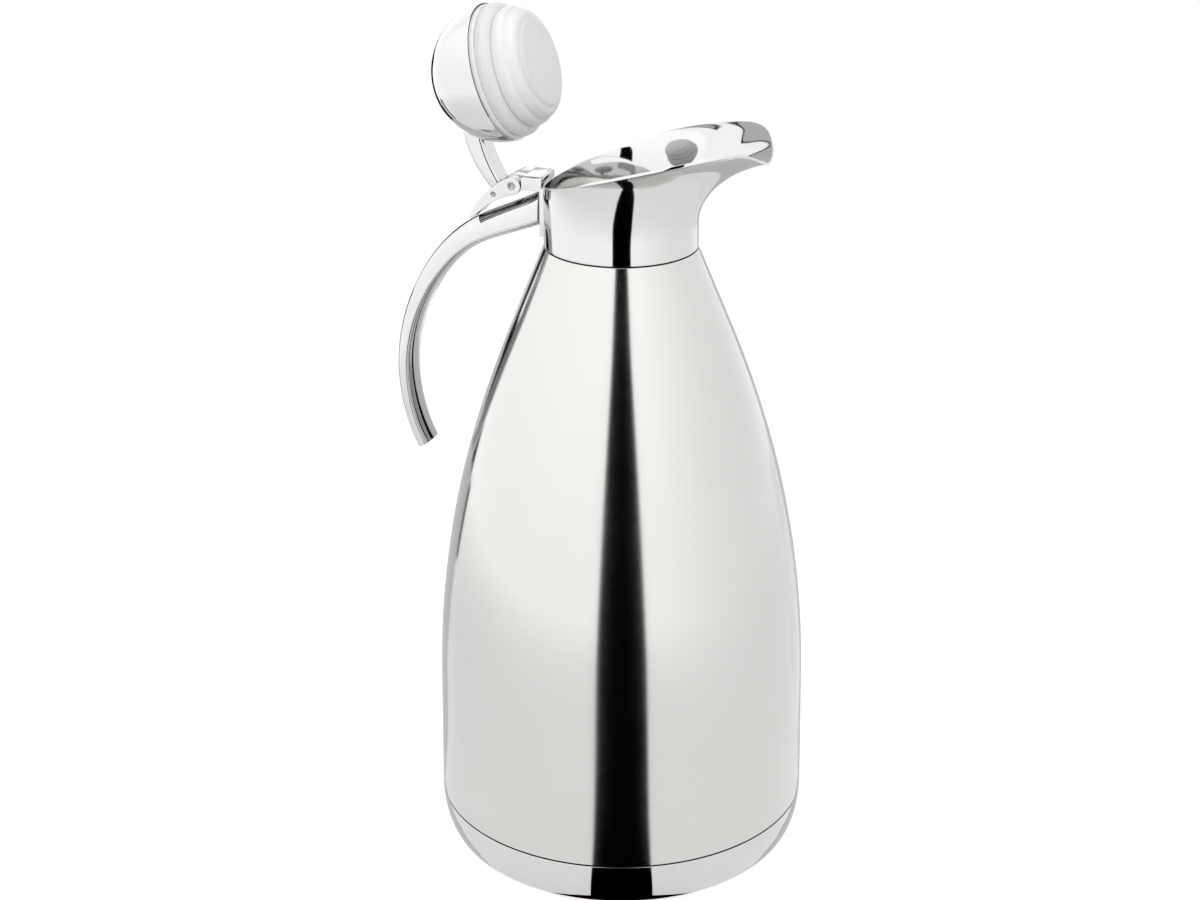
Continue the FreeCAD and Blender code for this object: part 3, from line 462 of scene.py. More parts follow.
def end_tree(tree, given, geometry):
    # Instances made real, the material set and the result handed out.
    real = add_node(tree, "GeometryNodeRealizeInstances", [geometry])
    painted = add_node(tree, "GeometryNodeSetMaterial",
                       {"Geometry": real, "Material": given["Material"]})
    add_node(tree, "NodeGroupOutput", [painted])


def grow(piece, tree, sizes, material):
    # Puts the tree on a piece, with its inputs set by their identifiers.
    modifier = piece.modifiers.new(tree.name, "NODES")
    modifier.node_group = tree
    for item in tree.interface.items_tree:
        if item.in_out == "INPUT" and item.name in sizes:
            modifier[item.identifier] = sizes[item.name]
        if item.in_out == "INPUT" and item.name == "Material":
            modifier[item.identifier] = material


def soften(piece, width, segments, angle):
    # Rounds the edges that turn by more than this angle, in degrees.
    edge = piece.modifiers.new("edge", "BEVEL")
    edge.width = width * MM
    edge.segments = segments
    edge.limit_method = "ANGLE"
    edge.angle_limit = math.radians(angle)


def settle(piece, sharp=35.0):
    # A new piece with what the modifiers make as its own plain mesh.
    bpy.context.view_layer.update()
    graph = bpy.context.evaluated_depsgraph_get()
    mesh = bpy.data.meshes.new_from_object(piece.evaluated_get(graph), depsgraph=graph)
    name = piece.name
    bpy.data.objects.remove(piece)
    mesh.name = name
    shade(mesh, sharp)
    return new_piece(name, mesh)


tree, given = start_tree("collar_flare", COLLAR_SIZES)
tube = add_node(tree, "GeometryNodeMeshCylinder",
                {"Vertices": 256, "Side Segments": 60, "Radius": 1.0, "Depth": 1.0}, fill_type="NONE")
spot = add_node(tree, "ShaderNodeSeparateXYZ", [add_node(tree, "GeometryNodeInputPosition")])
cos_around, sin_around = spot.outputs[0], spot.outputs[1]
along = add_node(tree, "ShaderNodeMath", [spot.outputs[2], 0.5], operation="ADD")
in_sleeve = add_node(tree, "ShaderNodeMapRange", {0: along, 1: 0.0, 2: SLEEVE_SHARE, 3: 0.0, 4: 1.0})
sleeve_z = add_node(tree, "ShaderNodeMath", [in_sleeve, given["Sleeve height"]], operation="MULTIPLY")
in_flare = add_node(tree, "ShaderNodeMapRange", {0: along, 1: SLEEVE_SHARE, 2: 1.0, 3: 0.0, 4: 1.0})
sweep = add_node(tree, "ShaderNodeMath", [in_flare, given["Lip sweep"]], operation="MULTIPLY")
cos_sweep = add_node(tree, "ShaderNodeMath", [sweep], operation="COSINE")
sin_sweep = add_node(tree, "ShaderNodeMath", [sweep], operation="SINE")
cos_end = add_node(tree, "ShaderNodeMath", [given["Lip sweep"]], operation="COSINE")
sin_end = add_node(tree, "ShaderNodeMath", [given["Lip sweep"]], operation="SINE")
part_out = add_node(tree, "ShaderNodeMath", [1.0, cos_sweep], operation="SUBTRACT")
full_out = add_node(tree, "ShaderNodeMath", [1.0, cos_end], operation="SUBTRACT")
out = add_node(tree, "ShaderNodeMath", [part_out, full_out], operation="DIVIDE")
up = add_node(tree, "ShaderNodeMath", [sin_sweep, sin_end], operation="DIVIDE")
reach_out = add_node(tree, "ShaderNodeMath", [given["Lip reach"], out], operation="MULTIPLY")
shift = add_node(tree, "ShaderNodeMath", [reach_out, 0.5], operation="MULTIPLY")
half = add_node(tree, "ShaderNodeMath", [shift, given["Neck radius"]], operation="ADD")
share = add_node(tree, "ShaderNodeMath", [cos_around, 0.5, 0.5], operation="MULTIPLY_ADD")
rest = add_node(tree, "ShaderNodeMath", [1.0, share], operation="SUBTRACT")
kept = add_node(tree, "ShaderNodeMath", [rest, 0.0], operation="MAXIMUM")
fall = add_node(tree, "ShaderNodeMath", [kept, given["Rim climb"]], operation="POWER")
climb = add_node(tree, "ShaderNodeMath", [1.0, fall], operation="SUBTRACT")
gain = add_node(tree, "ShaderNodeMath", [given["Crest rise"], given["Back rise"]], operation="SUBTRACT")
low = add_node(tree, "ShaderNodeMath", [given["Back rise"], given["Sleeve height"]],
               operation="SUBTRACT")
crest = add_node(tree, "ShaderNodeMath", [gain, climb, low], operation="MULTIPLY_ADD")
narrow = add_node(tree, "ShaderNodeMath", [share, given["Lip sharpness"]], operation="POWER")
droop = add_node(tree, "ShaderNodeMath", [narrow, given["Lip dip"]], operation="MULTIPLY")
rise = add_node(tree, "ShaderNodeMath", [crest, droop], operation="SUBTRACT")
x = add_node(tree, "ShaderNodeMath", [half, cos_around, shift], operation="MULTIPLY_ADD")
oval = add_node(tree, "ShaderNodeMath", [half, given["Neck radius"]], operation="MULTIPLY")
width = add_node(tree, "ShaderNodeMath", [oval], operation="SQRT")
widen = add_node(tree, "ShaderNodeMath", [out, given["Rim widen"], 1.0], operation="MULTIPLY_ADD")
wide = add_node(tree, "ShaderNodeMath", [width, widen], operation="MULTIPLY")
y = add_node(tree, "ShaderNodeMath", [wide, sin_around], operation="MULTIPLY")
foot_z = add_node(tree, "ShaderNodeMath", [sleeve_z, given["Seam height"]], operation="ADD")
z = add_node(tree, "ShaderNodeMath", [rise, up, foot_z], operation="MULTIPLY_ADD")
point = add_node(tree, "ShaderNodeCombineXYZ", [x, y, z])
metres = add_node(tree, "ShaderNodeVectorMath", {0: point, "Scale": MM}, operation="SCALE")
shaped = add_node(tree, "GeometryNodeSetPosition", {"Geometry": tube, "Position": metres})
end_tree(tree, given, shaped)
collar = new_piece("collar", bpy.data.meshes.new("collar"))
grow(collar, tree, COLLAR_SIZES, mirror_steel)
wall = collar.modifiers.new("wall", "SOLIDIFY")
wall.thickness = COLLAR_WALL * MM
wall.offset = -1.0
wall.use_even_offset = True
wall.use_quality_normals = True
soften(collar, 0.18, 4, 50)
collar = settle(collar)
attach(collar, "jug")
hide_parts("spout_collar")

# Hinge bracket
# A cast block soldered to the back of the collar: a saddle that follows the sleeve, a crossbar, the
# lug for the hinge pin and, inside the handle, a tongue. It is plated bright.
HINGE_X = -39.5
HINGE_Z = 256.0

# Plated zinc casting: a bright mirror with a faint orange peel from the casting under the plating.
plated_zinc, tree, shader = start_material("plated_zinc_casting")
PEEL = 2.5
place = add_node(tree, "ShaderNodeTexCoord")
peel = add_node(tree, "ShaderNodeTexNoise",
                {"Vector": place.outputs["Object"], "Scale": 1000 / PEEL, "Detail": 1.0})
rough = add_node(tree, "ShaderNodeMapRange", {0: peel, 3: 0.05, 4: 0.10})
bump = add_node(tree, "ShaderNodeBump", {"Height": peel, "Strength": 0.04, "Distance": 0.00005})
tint = add_node(tree, "ShaderNodeValToRGB", [peel])
tint.color_ramp.elements[0].color = srgb("C4C4C5")
tint.color_ramp.elements[1].color = srgb("CACACB")
feed(tree, shader, {"Metallic": 1.0, "Base Color": tint, "Roughness": rough, "Normal": bump})


def eased_copy(node, name, rounding, material):
    # A welded copy of a node's mesh with its sharp edges rounded as a polished casting's are.
    made = bmesh.new()
    made.from_mesh(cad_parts[node].data)
    bmesh.ops.remove_doubles(made, verts=made.verts, dist=2e-6)
    flat_angle = math.radians(0.4)
    bmesh.ops.dissolve_limit(made, angle_limit=flat_angle, verts=made.verts, edges=made.edges)
    mesh = bpy.data.meshes.new(name)
    made.to_mesh(mesh)
    made.free()
    mesh.materials.clear()
    mesh.materials.append(material)
    piece = new_piece(name, mesh)
    soften(piece, rounding, 3, 40)
    return settle(piece, 40.0)


bracket = eased_copy("hinge_bracket", "bracket", 0.35, plated_zinc)
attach(bracket, "jug")
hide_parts("hinge_bracket")

# Handle
# A curved cast handle with a free lower end: thick at the neck and slim at the tip, round outside and
# flat towards the fingers. It slips over the bracket's tongue and is plated bright.
HANDLE_CROWN = [(9.9, -1.6), (0.4, -7.7), (-22.3, -13.4), (-43.3, -42.3),
                (-51.5, -74.9), (-46.3, -98.2), (-41.5, -107.3)]
HANDLE_SIZES = {"Root width": 14.4, "Slim": 1.4, "Root thickness": 11.6, "Tip thickness": 6.1,
                "Thinning": 1.9, "Back share": 0.72}
SADDLE_OUT_R = 29.55
ROOT_GAP = 0.9           # open joint between handle and saddle
TONGUE = (11.05, 7.1, -12.6, -8.35)      # reach behind the neck, width, foot and top from the pin
SCREW_X = -35.0
SCREW_STEPS = 48
SCREW_SEAT = -14.0       # from the pin
SCREW_HEAD_R = 3.5
HEAD_PLAY = 0.05
HEAD_ROOM = 6.4          # depth of the counterbore, out through the handle's inner side
SHANK_HOLE_R = 2.05
SHANK_ROOM = 2.8         # from the screw's seat up into the room for the tongue
NECK_ROOM = (-21.0, 63.0)                # cut for the neck, from its seam
SIDE_POWER = 0.88        # below 1, the section is fuller than an ellipse: at its sides
FRONT_POWER = 0.95       # and towards the fingers

tree, given = start_tree("handle_sweep", HANDLE_SIZES)
tube = add_node(tree, "GeometryNodeMeshCylinder",
                {"Vertices": 72, "Side Segments": 150, "Radius": 1.0, "Depth": 1.0}, fill_type="NGON")
spot = add_node(tree, "ShaderNodeSeparateXYZ", [add_node(tree, "GeometryNodeInputPosition")])
along = add_node(tree, "ShaderNodeMath", [spot.outputs[2], 0.5], operation="ADD")
crown = add_node(tree, "GeometryNodeSampleCurve",
                 {"Curves": given["Geometry"], "Factor": along}, mode="FACTOR")
way = add_node(tree, "ShaderNodeSeparateXYZ", [crown.outputs["Tangent"]])
turned = add_node(tree, "ShaderNodeMath", [way.outputs[2], -1.0], operation="MULTIPLY")
inward = add_node(tree, "ShaderNodeCombineXYZ", [turned, 0.0, way.outputs[0]])
rest = add_node(tree, "ShaderNodeMath", [1.0, along], operation="SUBTRACT")
kept = add_node(tree, "ShaderNodeMath", [rest, 0.0], operation="MAXIMUM")
fall = add_node(tree, "ShaderNodeMath", [kept, given["Thinning"]], operation="POWER")
loss = add_node(tree, "ShaderNodeMath", [given["Root thickness"], given["Tip thickness"]],
                operation="SUBTRACT")
thick = add_node(tree, "ShaderNodeMath", [loss, fall, given["Tip thickness"]], operation="MULTIPLY_ADD")
slimmed = add_node(tree, "ShaderNodeMath", [given["Slim"], along], operation="MULTIPLY")
wide = add_node(tree, "ShaderNodeMath", [given["Root width"], slimmed], operation="SUBTRACT")
half = add_node(tree, "ShaderNodeMath", [wide, 0.5], operation="MULTIPLY")
c_size = add_node(tree, "ShaderNodeMath", [spot.outputs[0]], operation="ABSOLUTE")
c_side = add_node(tree, "ShaderNodeMath", [spot.outputs[0]], operation="SIGN")
c_full = add_node(tree, "ShaderNodeMath", [c_size, SIDE_POWER], operation="POWER")
c_part = add_node(tree, "ShaderNodeMath", [c_full, c_side], operation="MULTIPLY")
across = add_node(tree, "ShaderNodeMath", [c_part, half], operation="MULTIPLY")
s_out = add_node(tree, "ShaderNodeMath", [spot.outputs[1], 0.0], operation="MAXIMUM")
s_back = add_node(tree, "ShaderNodeMath", [spot.outputs[1], -1.0], operation="MULTIPLY")
s_in = add_node(tree, "ShaderNodeMath", [s_back, 0.0], operation="MAXIMUM")
s_boxy = add_node(tree, "ShaderNodeMath", [s_in, FRONT_POWER], operation="POWER")
back_out = add_node(tree, "ShaderNodeMath", [1.0, s_out], operation="SUBTRACT")
from_back = add_node(tree, "ShaderNodeMath", [back_out, given["Back share"]], operation="MULTIPLY")
front_share = add_node(tree, "ShaderNodeMath", [1.0, given["Back share"]], operation="SUBTRACT")
level = add_node(tree, "ShaderNodeMath", [s_boxy, front_share, from_back], operation="MULTIPLY_ADD")
depth = add_node(tree, "ShaderNodeMath", [level, thick], operation="MULTIPLY")
sunk = add_node(tree, "ShaderNodeMath", [depth, MM], operation="MULTIPLY")
aside = add_node(tree, "ShaderNodeMath", [across, MM], operation="MULTIPLY")
into = add_node(tree, "ShaderNodeVectorMath", {0: inward, "Scale": sunk}, operation="SCALE")
side = add_node(tree, "ShaderNodeCombineXYZ", [0.0, aside, 0.0])
moved = add_node(tree, "ShaderNodeVectorMath", [into, side], operation="ADD")
point = add_node(tree, "ShaderNodeVectorMath", [crown.outputs["Position"], moved], operation="ADD")
shaped = add_node(tree, "GeometryNodeSetPosition", {"Geometry": tube, "Position": point})
end_tree(tree, given, shaped)

line = bpy.data.curves.new("handle", "CURVE")
line.dimensions = "3D"
spline = line.splines.new("NURBS")
spline.points.add(len(HANDLE_CROWN) - 1)
for knot, (dx, dz) in zip(spline.points, HANDLE_CROWN):
    knot.co = ((HINGE_X + dx) * MM, 0, (HINGE_Z + dz) * MM, 1)
spline.order_u = 4
spline.use_endpoint_u = True
spline.resolution_u = 48
handle = new_piece("grip", line)
grow(handle, tree, HANDLE_SIZES, plated_zinc)
handle = settle(handle)


def weld_outward(piece):
    made = bmesh.new()
    made.from_mesh(piece.data)
    bmesh.ops.remove_doubles(made, verts=made.verts, dist=1e-7)
    bmesh.ops.recalc_face_normals(made, faces=made.faces)
    made.to_mesh(piece.data)
    made.free()


def cut_away(piece, tools):
    # Takes each tool's space out of the piece and removes the tools.
    for tool in tools:
        cut = piece.modifiers.new("cut", "BOOLEAN")
        cut.operation = "DIFFERENCE"
        cut.solver = "EXACT"
        cut.object = tool
    piece = settle(piece)
    for tool in tools:
        bpy.data.objects.remove(tool)
    return piece


def block(name, x0, x1, width, z0, z1):
    made = bmesh.new()
    bmesh.ops.create_cube(made, size=1.0)
    for v in made.verts:
        x = x0 + (x1 - x0) * (v.co.x + 0.5)
        z = z0 + (z1 - z0) * (v.co.z + 0.5)
        v.co = Vector((x, width * v.co.y, z)) * MM
    mesh = bpy.data.meshes.new(name)
    made.to_mesh(mesh)
    made.free()
    return new_piece(name, mesh)


def drum(name, radius, z0, z1, x=0.0, steps=LATHE_STEPS):
    tool = lathe(name, [(0, z0), (radius, z0), (radius, z1), (0, z1)], steps)
    tool.data.transform(Matrix.Translation((x * MM, 0, 0)))
    return tool


weld_outward(handle)
seat_z = HINGE_Z + SCREW_SEAT
handle = cut_away(handle, [
    drum("neck_room", SADDLE_OUT_R + ROOT_GAP, NECK_SEAM + NECK_ROOM[0], NECK_SEAM + NECK_ROOM[1]),
    block("tongue_room", -NECK_R - TONGUE[0], -NECK_R, TONGUE[1],
          HINGE_Z + TONGUE[2], HINGE_Z + TONGUE[3]),
    drum("head_room", SCREW_HEAD_R + HEAD_PLAY, seat_z - HEAD_ROOM, seat_z, SCREW_X, SCREW_STEPS),
    drum("shank_room", SHANK_HOLE_R, seat_z - 0.1, seat_z + SHANK_ROOM, SCREW_X, SCREW_STEPS)])
soften(handle, 0.5, 3, 50)
handle = settle(handle)
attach(handle, "jug")
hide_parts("handle")

# Handle screw
# A round-headed steel screw from below, through the handle into the tongue, with a hexagon socket.
# It sits in a counterbore, so it only shows from underneath.

# Turned steel: bright, with the fine uneven grain that a lathe tool leaves.
turned_steel, tree, shader = start_material("turned_steel")
TOOL_MARK = 0.25
place = add_node(tree, "ShaderNodeTexCoord")
marks = add_node(tree, "ShaderNodeTexNoise",
                 {"Vector": place.outputs["Object"], "Scale": 1000 / TOOL_MARK, "Detail": 2.0})
rough = add_node(tree, "ShaderNodeMapRange", {0: marks, 3: 0.16, 4: 0.30})
bump = add_node(tree, "ShaderNodeBump", {"Height": marks, "Strength": 0.08, "Distance": 0.00003})
feed(tree, shader, {"Base Color": srgb("A2A2A0"), "Metallic": 1.0, "Roughness": rough,
                    "Normal": bump})

SCREW_HEAD_T = 1.6
SCREW_R = 2.0
SCREW_TOP = -8.8
SOCKET_R = 1.45
SOCKET_DEPTH = 1.1
head_z = seat_z - SCREW_HEAD_T
screw = lathe("grip_screw", eased([
    (0, head_z), (SCREW_HEAD_R, head_z, 0.5), (SCREW_HEAD_R, seat_z, 0.1),
    (SCREW_R, seat_z), (SCREW_R, HINGE_Z + SCREW_TOP, 0.4), (0, HINGE_Z + SCREW_TOP)]), SCREW_STEPS)
screw.data.transform(Matrix.Translation((SCREW_X * MM, 0, 0)))
screw = cut_away(screw, [drum("socket", SOCKET_R, head_z - 1, head_z + SOCKET_DEPTH, SCREW_X, 6)])
screw.data.materials.clear()
screw.data.materials.append(turned_steel)
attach(screw, "jug")
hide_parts("handle_screw")

# Lid dome
# Half a ball of polished steel sheet, the upper side of the lid. It is shown open, turned back about
# the hinge pin, so it is spun on the jug's axis and then swung to its place.
LID_RIM = 249.0
DOME_R = 25.0
DOME_WALL = 0.8
PIN_AT = Vector((HINGE_X * MM, 0, HINGE_Z * MM))
OPENING = Matrix.Rotation(-OPEN_ANGLE, 4, "Y")
SWING = Matrix.Translation(PIN_AT) @ OPENING @ Matrix.Translation(-PIN_AT)


def dome_arc(radius, start, end, steps=40):
    turns = [start + (end - start) * i / steps for i in range(steps + 1)]
    return [(radius * math.cos(t), LID_RIM + radius * math.sin(t)) for t in turns]


dome_in = DOME_R - DOME_WALL
quarter = math.pi / 2
dome = lathe("lid_ball", eased(
    [(DOME_R, LID_RIM, 0.25)] + dome_arc(DOME_R, 0.03, quarter)[:-1]
    + [(0, LID_RIM + DOME_R), (0, LID_RIM + dome_in)]
    + dome_arc(dome_in, 0, quarter)[::-1][1:]))
dome.data.transform(SWING)
dome.data.materials.append(mirror_steel)
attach(dome, "lid")
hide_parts("lid_dome")

# Lid stud, foam, washer and nut
# A threaded stud welded inside the dome clamps the stopper with a washer and a nut, and foam fills the
# dome around it. All of it is closed in by the stopper.
for node in ("dome_stud", "stopper_washer", "stopper_nut"):
    dress(node, turned_steel)

# Polyurethane foam: cream, with open cells a little over half a millimetre across.
open_foam, tree, shader = start_material("polyurethane_foam")
CELL = 0.6
place = add_node(tree, "ShaderNodeTexCoord")
cells = add_node(tree, "ShaderNodeTexVoronoi", {"Vector": place.outputs["Object"], "Scale": 1000 / CELL})
tint = add_node(tree, "ShaderNodeValToRGB", [cells])
tint.color_ramp.elements[0].color = srgb("C9BC95")
tint.color_ramp.elements[1].color = srgb("F1E8CB")
bump = add_node(tree, "ShaderNodeBump", {"Height": cells, "Strength": 0.6, "Distance": 0.0003})
feed(tree, shader, {"Roughness": 0.9, "Base Color": tint, "Normal": bump})
dress("lid_foam", open_foam)

# Stopper
# Two mouldings of milky polypropylene: the body with a thin flange against the dome's rim and a lower
# drum, and a cap snapped into its end. A soft silicone ring between flange and drum seals the mouth.

# Natural polypropylene: milky white, satin, with a little light passing through.
milky_plastic, tree, shader = start_material("natural_polypropylene")
FLOW = 9.0               # size of the soft clouds from the mould flow
place = add_node(tree, "ShaderNodeTexCoord")
flow = add_node(tree, "ShaderNodeTexNoise",
                {"Vector": place.outputs["Object"], "Scale": 1000 / FLOW, "Detail": 2.0})
tint = add_node(tree, "ShaderNodeValToRGB", [flow])
tint.color_ramp.elements[0].color = srgb("EFEFEE")
tint.color_ramp.elements[1].color = srgb("F7F7F6")
rough = add_node(tree, "ShaderNodeMapRange", {0: flow, 3: 0.34, 4: 0.46})
feed(tree, shader, {"IOR": 1.49, "Subsurface Weight": 0.25,
                    "Subsurface Radius": (0.004, 0.004, 0.004), "Subsurface Scale": 0.6,
                    "Base Color": tint, "Roughness": rough})

# Silicone rubber: milky, softer sheen than the plastic, a faint dust of talc.
soft_silicone, tree, shader = start_material("milky_silicone")
TALC = 1.2
place = add_node(tree, "ShaderNodeTexCoord")
talc = add_node(tree, "ShaderNodeTexNoise",
                {"Vector": place.outputs["Object"], "Scale": 1000 / TALC, "Detail": 3.0})
tint = add_node(tree, "ShaderNodeValToRGB", [talc])
tint.color_ramp.elements[0].color = srgb("E6E6E5")
tint.color_ramp.elements[1].color = srgb("EFEFEE")
rough = add_node(tree, "ShaderNodeMapRange", {0: talc, 3: 0.45, 4: 0.60})
feed(tree, shader, {"IOR": 1.41, "Subsurface Weight": 0.25,
                    "Subsurface Radius": (0.004, 0.004, 0.004), "Subsurface Scale": 0.6,
                    "Base Color": tint, "Roughness": rough})

SEAL_R = 20.8
SEAL_DEPTH = 3.6
SEAL_BULGE = 3.2
SEAL_IN_R = 19.7
FLANGE_T = 1.6
FLANGE_R = 24.35         # stands back a little, so that the dome's cut edge shows
SPIGOT_R = 23.96
SPIGOT_H = 3.0
WELL_R = 17.7
WELL_FLOOR = 10.4
FLOOR_LOW = 12.4
RING_R = 21.6
RING_EDGE = 0.5
RING_TOP = 6.8
RING_LOW = 11.7
END_R = 16.5
STOPPER_DEPTH = 15.6
POCKET_R = 15.1
STUD_HOLE_R = 2.05
END_STEP_R = 19.9        # under the ring, where the rounded end starts
END_BULGE = (18.3, 14.9)
CAP_T = 0.5
CAP_CROWN = 1.0
CAP_EDGE = (15.2, 16.38)     # where the rounded edge of the end would have its corner
CAP_FACE_R = 11.5
GATE_AT = (1.5, 12.3)         # small pit left by the moulding gate
GATE_R = 0.45
CAP_SPIGOT_H = 2.4
CAP_WALL = 1.4
CAP_PLAY = 0.05
CAP_STEPS = 16
BULGE_STEPS = 24


def under_rim(corners):
    # From depths under the dome's rim to heights on the jug's axis.
    return [(c[0], LID_RIM - c[1]) + tuple(c[2:]) for c in corners]


ring_mid = (RING_TOP + RING_LOW) / 2
drum_side = [(RING_R - RING_EDGE, RING_TOP, 0.8), (RING_R, ring_mid, 6.0),
             (RING_R - RING_EDGE, RING_LOW - 0.9, 1.2),
             (END_STEP_R, RING_LOW, 1.0), (END_STEP_R - 0.2, RING_LOW + 1.6, 2.5)]
stopper = lathe("stopper", eased(under_rim(
    [(STUD_HOLE_R, WELL_FLOOR), (WELL_R, WELL_FLOOR), (WELL_R, -SPIGOT_H),
     (SPIGOT_R, -SPIGOT_H), (SPIGOT_R, 0), (FLANGE_R, 0), (FLANGE_R, FLANGE_T, 0.5),
     (SEAL_IN_R, FLANGE_T), (SEAL_IN_R, RING_TOP)]
    + drum_side
    + [END_BULGE + (3.0,), (END_R, STOPPER_DEPTH), (POCKET_R, STOPPER_DEPTH),
       (POCKET_R, FLOOR_LOW), (STUD_HOLE_R, FLOOR_LOW)])))
stopper.data.transform(SWING)
stopper.data.materials.append(milky_plastic)
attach(stopper, "lid")
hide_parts("stopper_body")

bulge_start = math.acos((SEAL_DEPTH - FLANGE_T) / SEAL_BULGE)
bulge = []
for i in range(BULGE_STEPS + 1):
    t = bulge_start + (math.pi - bulge_start) * i / BULGE_STEPS
    bulge.append((SEAL_R + SEAL_BULGE * math.sin(t), SEAL_DEPTH - SEAL_BULGE * math.cos(t)))
seal = lathe("seal", under_rim([(SEAL_IN_R, FLANGE_T)] + bulge + [(SEAL_IN_R, RING_TOP)]))
seal.data.transform(SWING)
seal.data.materials.append(soft_silicone)
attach(seal, "lid")
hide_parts("seal_ring")

cap_end = STOPPER_DEPTH + CAP_T
crown_r = (END_R ** 2 + CAP_CROWN ** 2) / (2 * CAP_CROWN)
crown = [CAP_EDGE + (3.0,)]
for i in range(CAP_STEPS + 1):
    r = CAP_FACE_R * (1 - i / CAP_STEPS)
    crown.append((r, cap_end + CAP_CROWN - crown_r + math.sqrt(crown_r ** 2 - r ** 2)))
snap_r = POCKET_R - CAP_PLAY
cap = lathe("stopper_end", eased(under_rim(
    [(0, STOPPER_DEPTH + 0.2), (snap_r - CAP_WALL, STOPPER_DEPTH + 0.2),
     (snap_r - CAP_WALL, STOPPER_DEPTH - CAP_SPIGOT_H), (snap_r, STOPPER_DEPTH - CAP_SPIGOT_H),
     (snap_r, STOPPER_DEPTH), (END_R, STOPPER_DEPTH)] + crown)))
gate = drum("gate", GATE_R, LID_RIM - cap_end - 2, LID_RIM - cap_end + 0.1, GATE_AT[0], 24)
gate.data.transform(Matrix.Translation((0, GATE_AT[1] * MM, 0)))
cap = cut_away(cap, [gate])
cap.data.transform(SWING)
cap.data.materials.clear()
cap.data.materials.append(milky_plastic)
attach(cap, "lid")
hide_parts("stopper_cap")

# Lid arm and its screws
# A plated casting that carries the dome. Its hollowed head is held to the ball by two screws from the
# inside, and its foot is a tenon in the fork of the thumb lever.
arm = eased_copy("lid_arm", "arm", 0.4, plated_zinc)
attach(arm, "lid")
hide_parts("lid_arm")

ARM_SCREW_PITCH = 5.4
ARM_SCREW_ANGLE = math.radians(141.0)    # around the ball, from the spout side when the lid is shut
ARM_SCREW_R = 1.25
ARM_SCREW_HEAD_R = 2.2
ARM_SCREW_HEAD_T = 1.4
ARM_SCREW_SEAT = 23.7    # from the middle of the ball
ARM_SCREW_END = 28.0
arm_head = ARM_SCREW_SEAT - ARM_SCREW_HEAD_T
screw_form = lathe("arm_screw_form", eased([
    (0, arm_head), (ARM_SCREW_HEAD_R, arm_head, 0.5),
    (ARM_SCREW_HEAD_R, ARM_SCREW_SEAT, 0.1), (ARM_SCREW_R, ARM_SCREW_SEAT),
    (ARM_SCREW_R, ARM_SCREW_END, 0.4), (0, ARM_SCREW_END)]), 40)
tree, given = start_tree("screw_pair", ["Pitch"])
tree.interface.new_socket("Screw", in_out="INPUT", socket_type="NodeSocketObject")
apart = add_node(tree, "ShaderNodeCombineXYZ", [0.0, given["Pitch"], 0.0])
first = add_node(tree, "ShaderNodeVectorMath", {0: apart, "Scale": -0.5}, operation="SCALE")
places = add_node(tree, "GeometryNodeMeshLine", {"Count": 2, "Start Location": first, "Offset": apart})
form = add_node(tree, "GeometryNodeObjectInfo", {"Object": given["Screw"]})
pair = add_node(tree, "GeometryNodeInstanceOnPoints",
                {"Points": places, "Instance": form.outputs["Geometry"]})
end_tree(tree, given, pair)
screws = new_piece("arm_screw_pair", bpy.data.meshes.new("arm_screw_pair"))
grow(screws, tree, {"Pitch": ARM_SCREW_PITCH * MM, "Screw": screw_form}, turned_steel)
screws = settle(screws)
bpy.data.objects.remove(screw_form)
on_ball = Matrix.Translation((0, 0, LID_RIM * MM)) @ Matrix.Rotation(quarter - ARM_SCREW_ANGLE, 4, "Y")
screws.data.transform(SWING @ on_ball)
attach(screws, "lid")
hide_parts("arm_screws")

# Thumb lever and hinge pins
# A forked plated lever on the hinge pin. Pressing its tail down swings the lid open, until the tail
# rests on the handle. Both cross pins are ground flush with the lever's sides.
lever = eased_copy("thumb_lever", "lever", 0.6, plated_zinc)
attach(lever, "lid")
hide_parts("thumb_lever")

PIN_LENGTH = 14.0
PIN_EDGE = 0.2
# Each pin's name, its node, its radius and its place from the hinge, towards the spout and up.
PINS = (("large_pin", "hinge_pin", 1.5, 0.0, 0.0), ("small_pin", "arm_pin", 1.0, -7.0, -3.6))
for name, node, radius, dx, dz in PINS:
    end = PIN_LENGTH / 2
    dimple = [(0, end - 0.5), (0.35 * radius, end - 0.42),
              (0.65 * radius, end - 0.2), (0.8 * radius, end)]
    sides = [(radius, -end, PIN_EDGE), (radius, end, PIN_EDGE)]
    pin = lathe(name, eased([(r, -z) for r, z in dimple] + sides + dimple[::-1]), SCREW_STEPS)
    moved = Matrix.Translation(((HINGE_X + dx) * MM, 0, (HINGE_Z + dz) * MM))
    across = moved @ Matrix.Rotation(quarter, 4, "X")
    pin.data.transform(across)
    pin.data.materials.append(turned_steel)
    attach(pin, "lid")
    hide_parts(node)

# Studio
# A white floor and white surroundings, soft lamps, and black, grey and white cards that only the
# reflections see, as photographers set them up to give polished metal its edges.
CAMERA_TURN = math.radians(18.5)
CAMERA_AWAY = 822.7
CAMERA_UP = 492.5
CAMERA_PITCH = math.radians(22.42)

scene = bpy.context.scene
scene.view_settings.view_transform = "Standard"
camera = bpy.data.objects.new("camera", bpy.data.cameras.new("camera"))
scene.collection.objects.link(camera)
camera.data.sensor_width = 36.0
camera.data.lens = 71.54
camera.data.shift_x = -0.01797
camera.data.shift_y = 0.00631
camera.data.clip_start = 0.01
camera.data.clip_end = 100.0
camera.location = (CAMERA_AWAY * MM * math.sin(CAMERA_TURN),
                   -CAMERA_AWAY * MM * math.cos(CAMERA_TURN), CAMERA_UP * MM)
camera.rotation_euler = (math.pi / 2 - CAMERA_PITCH, 0, CAMERA_TURN)
scene.camera = camera

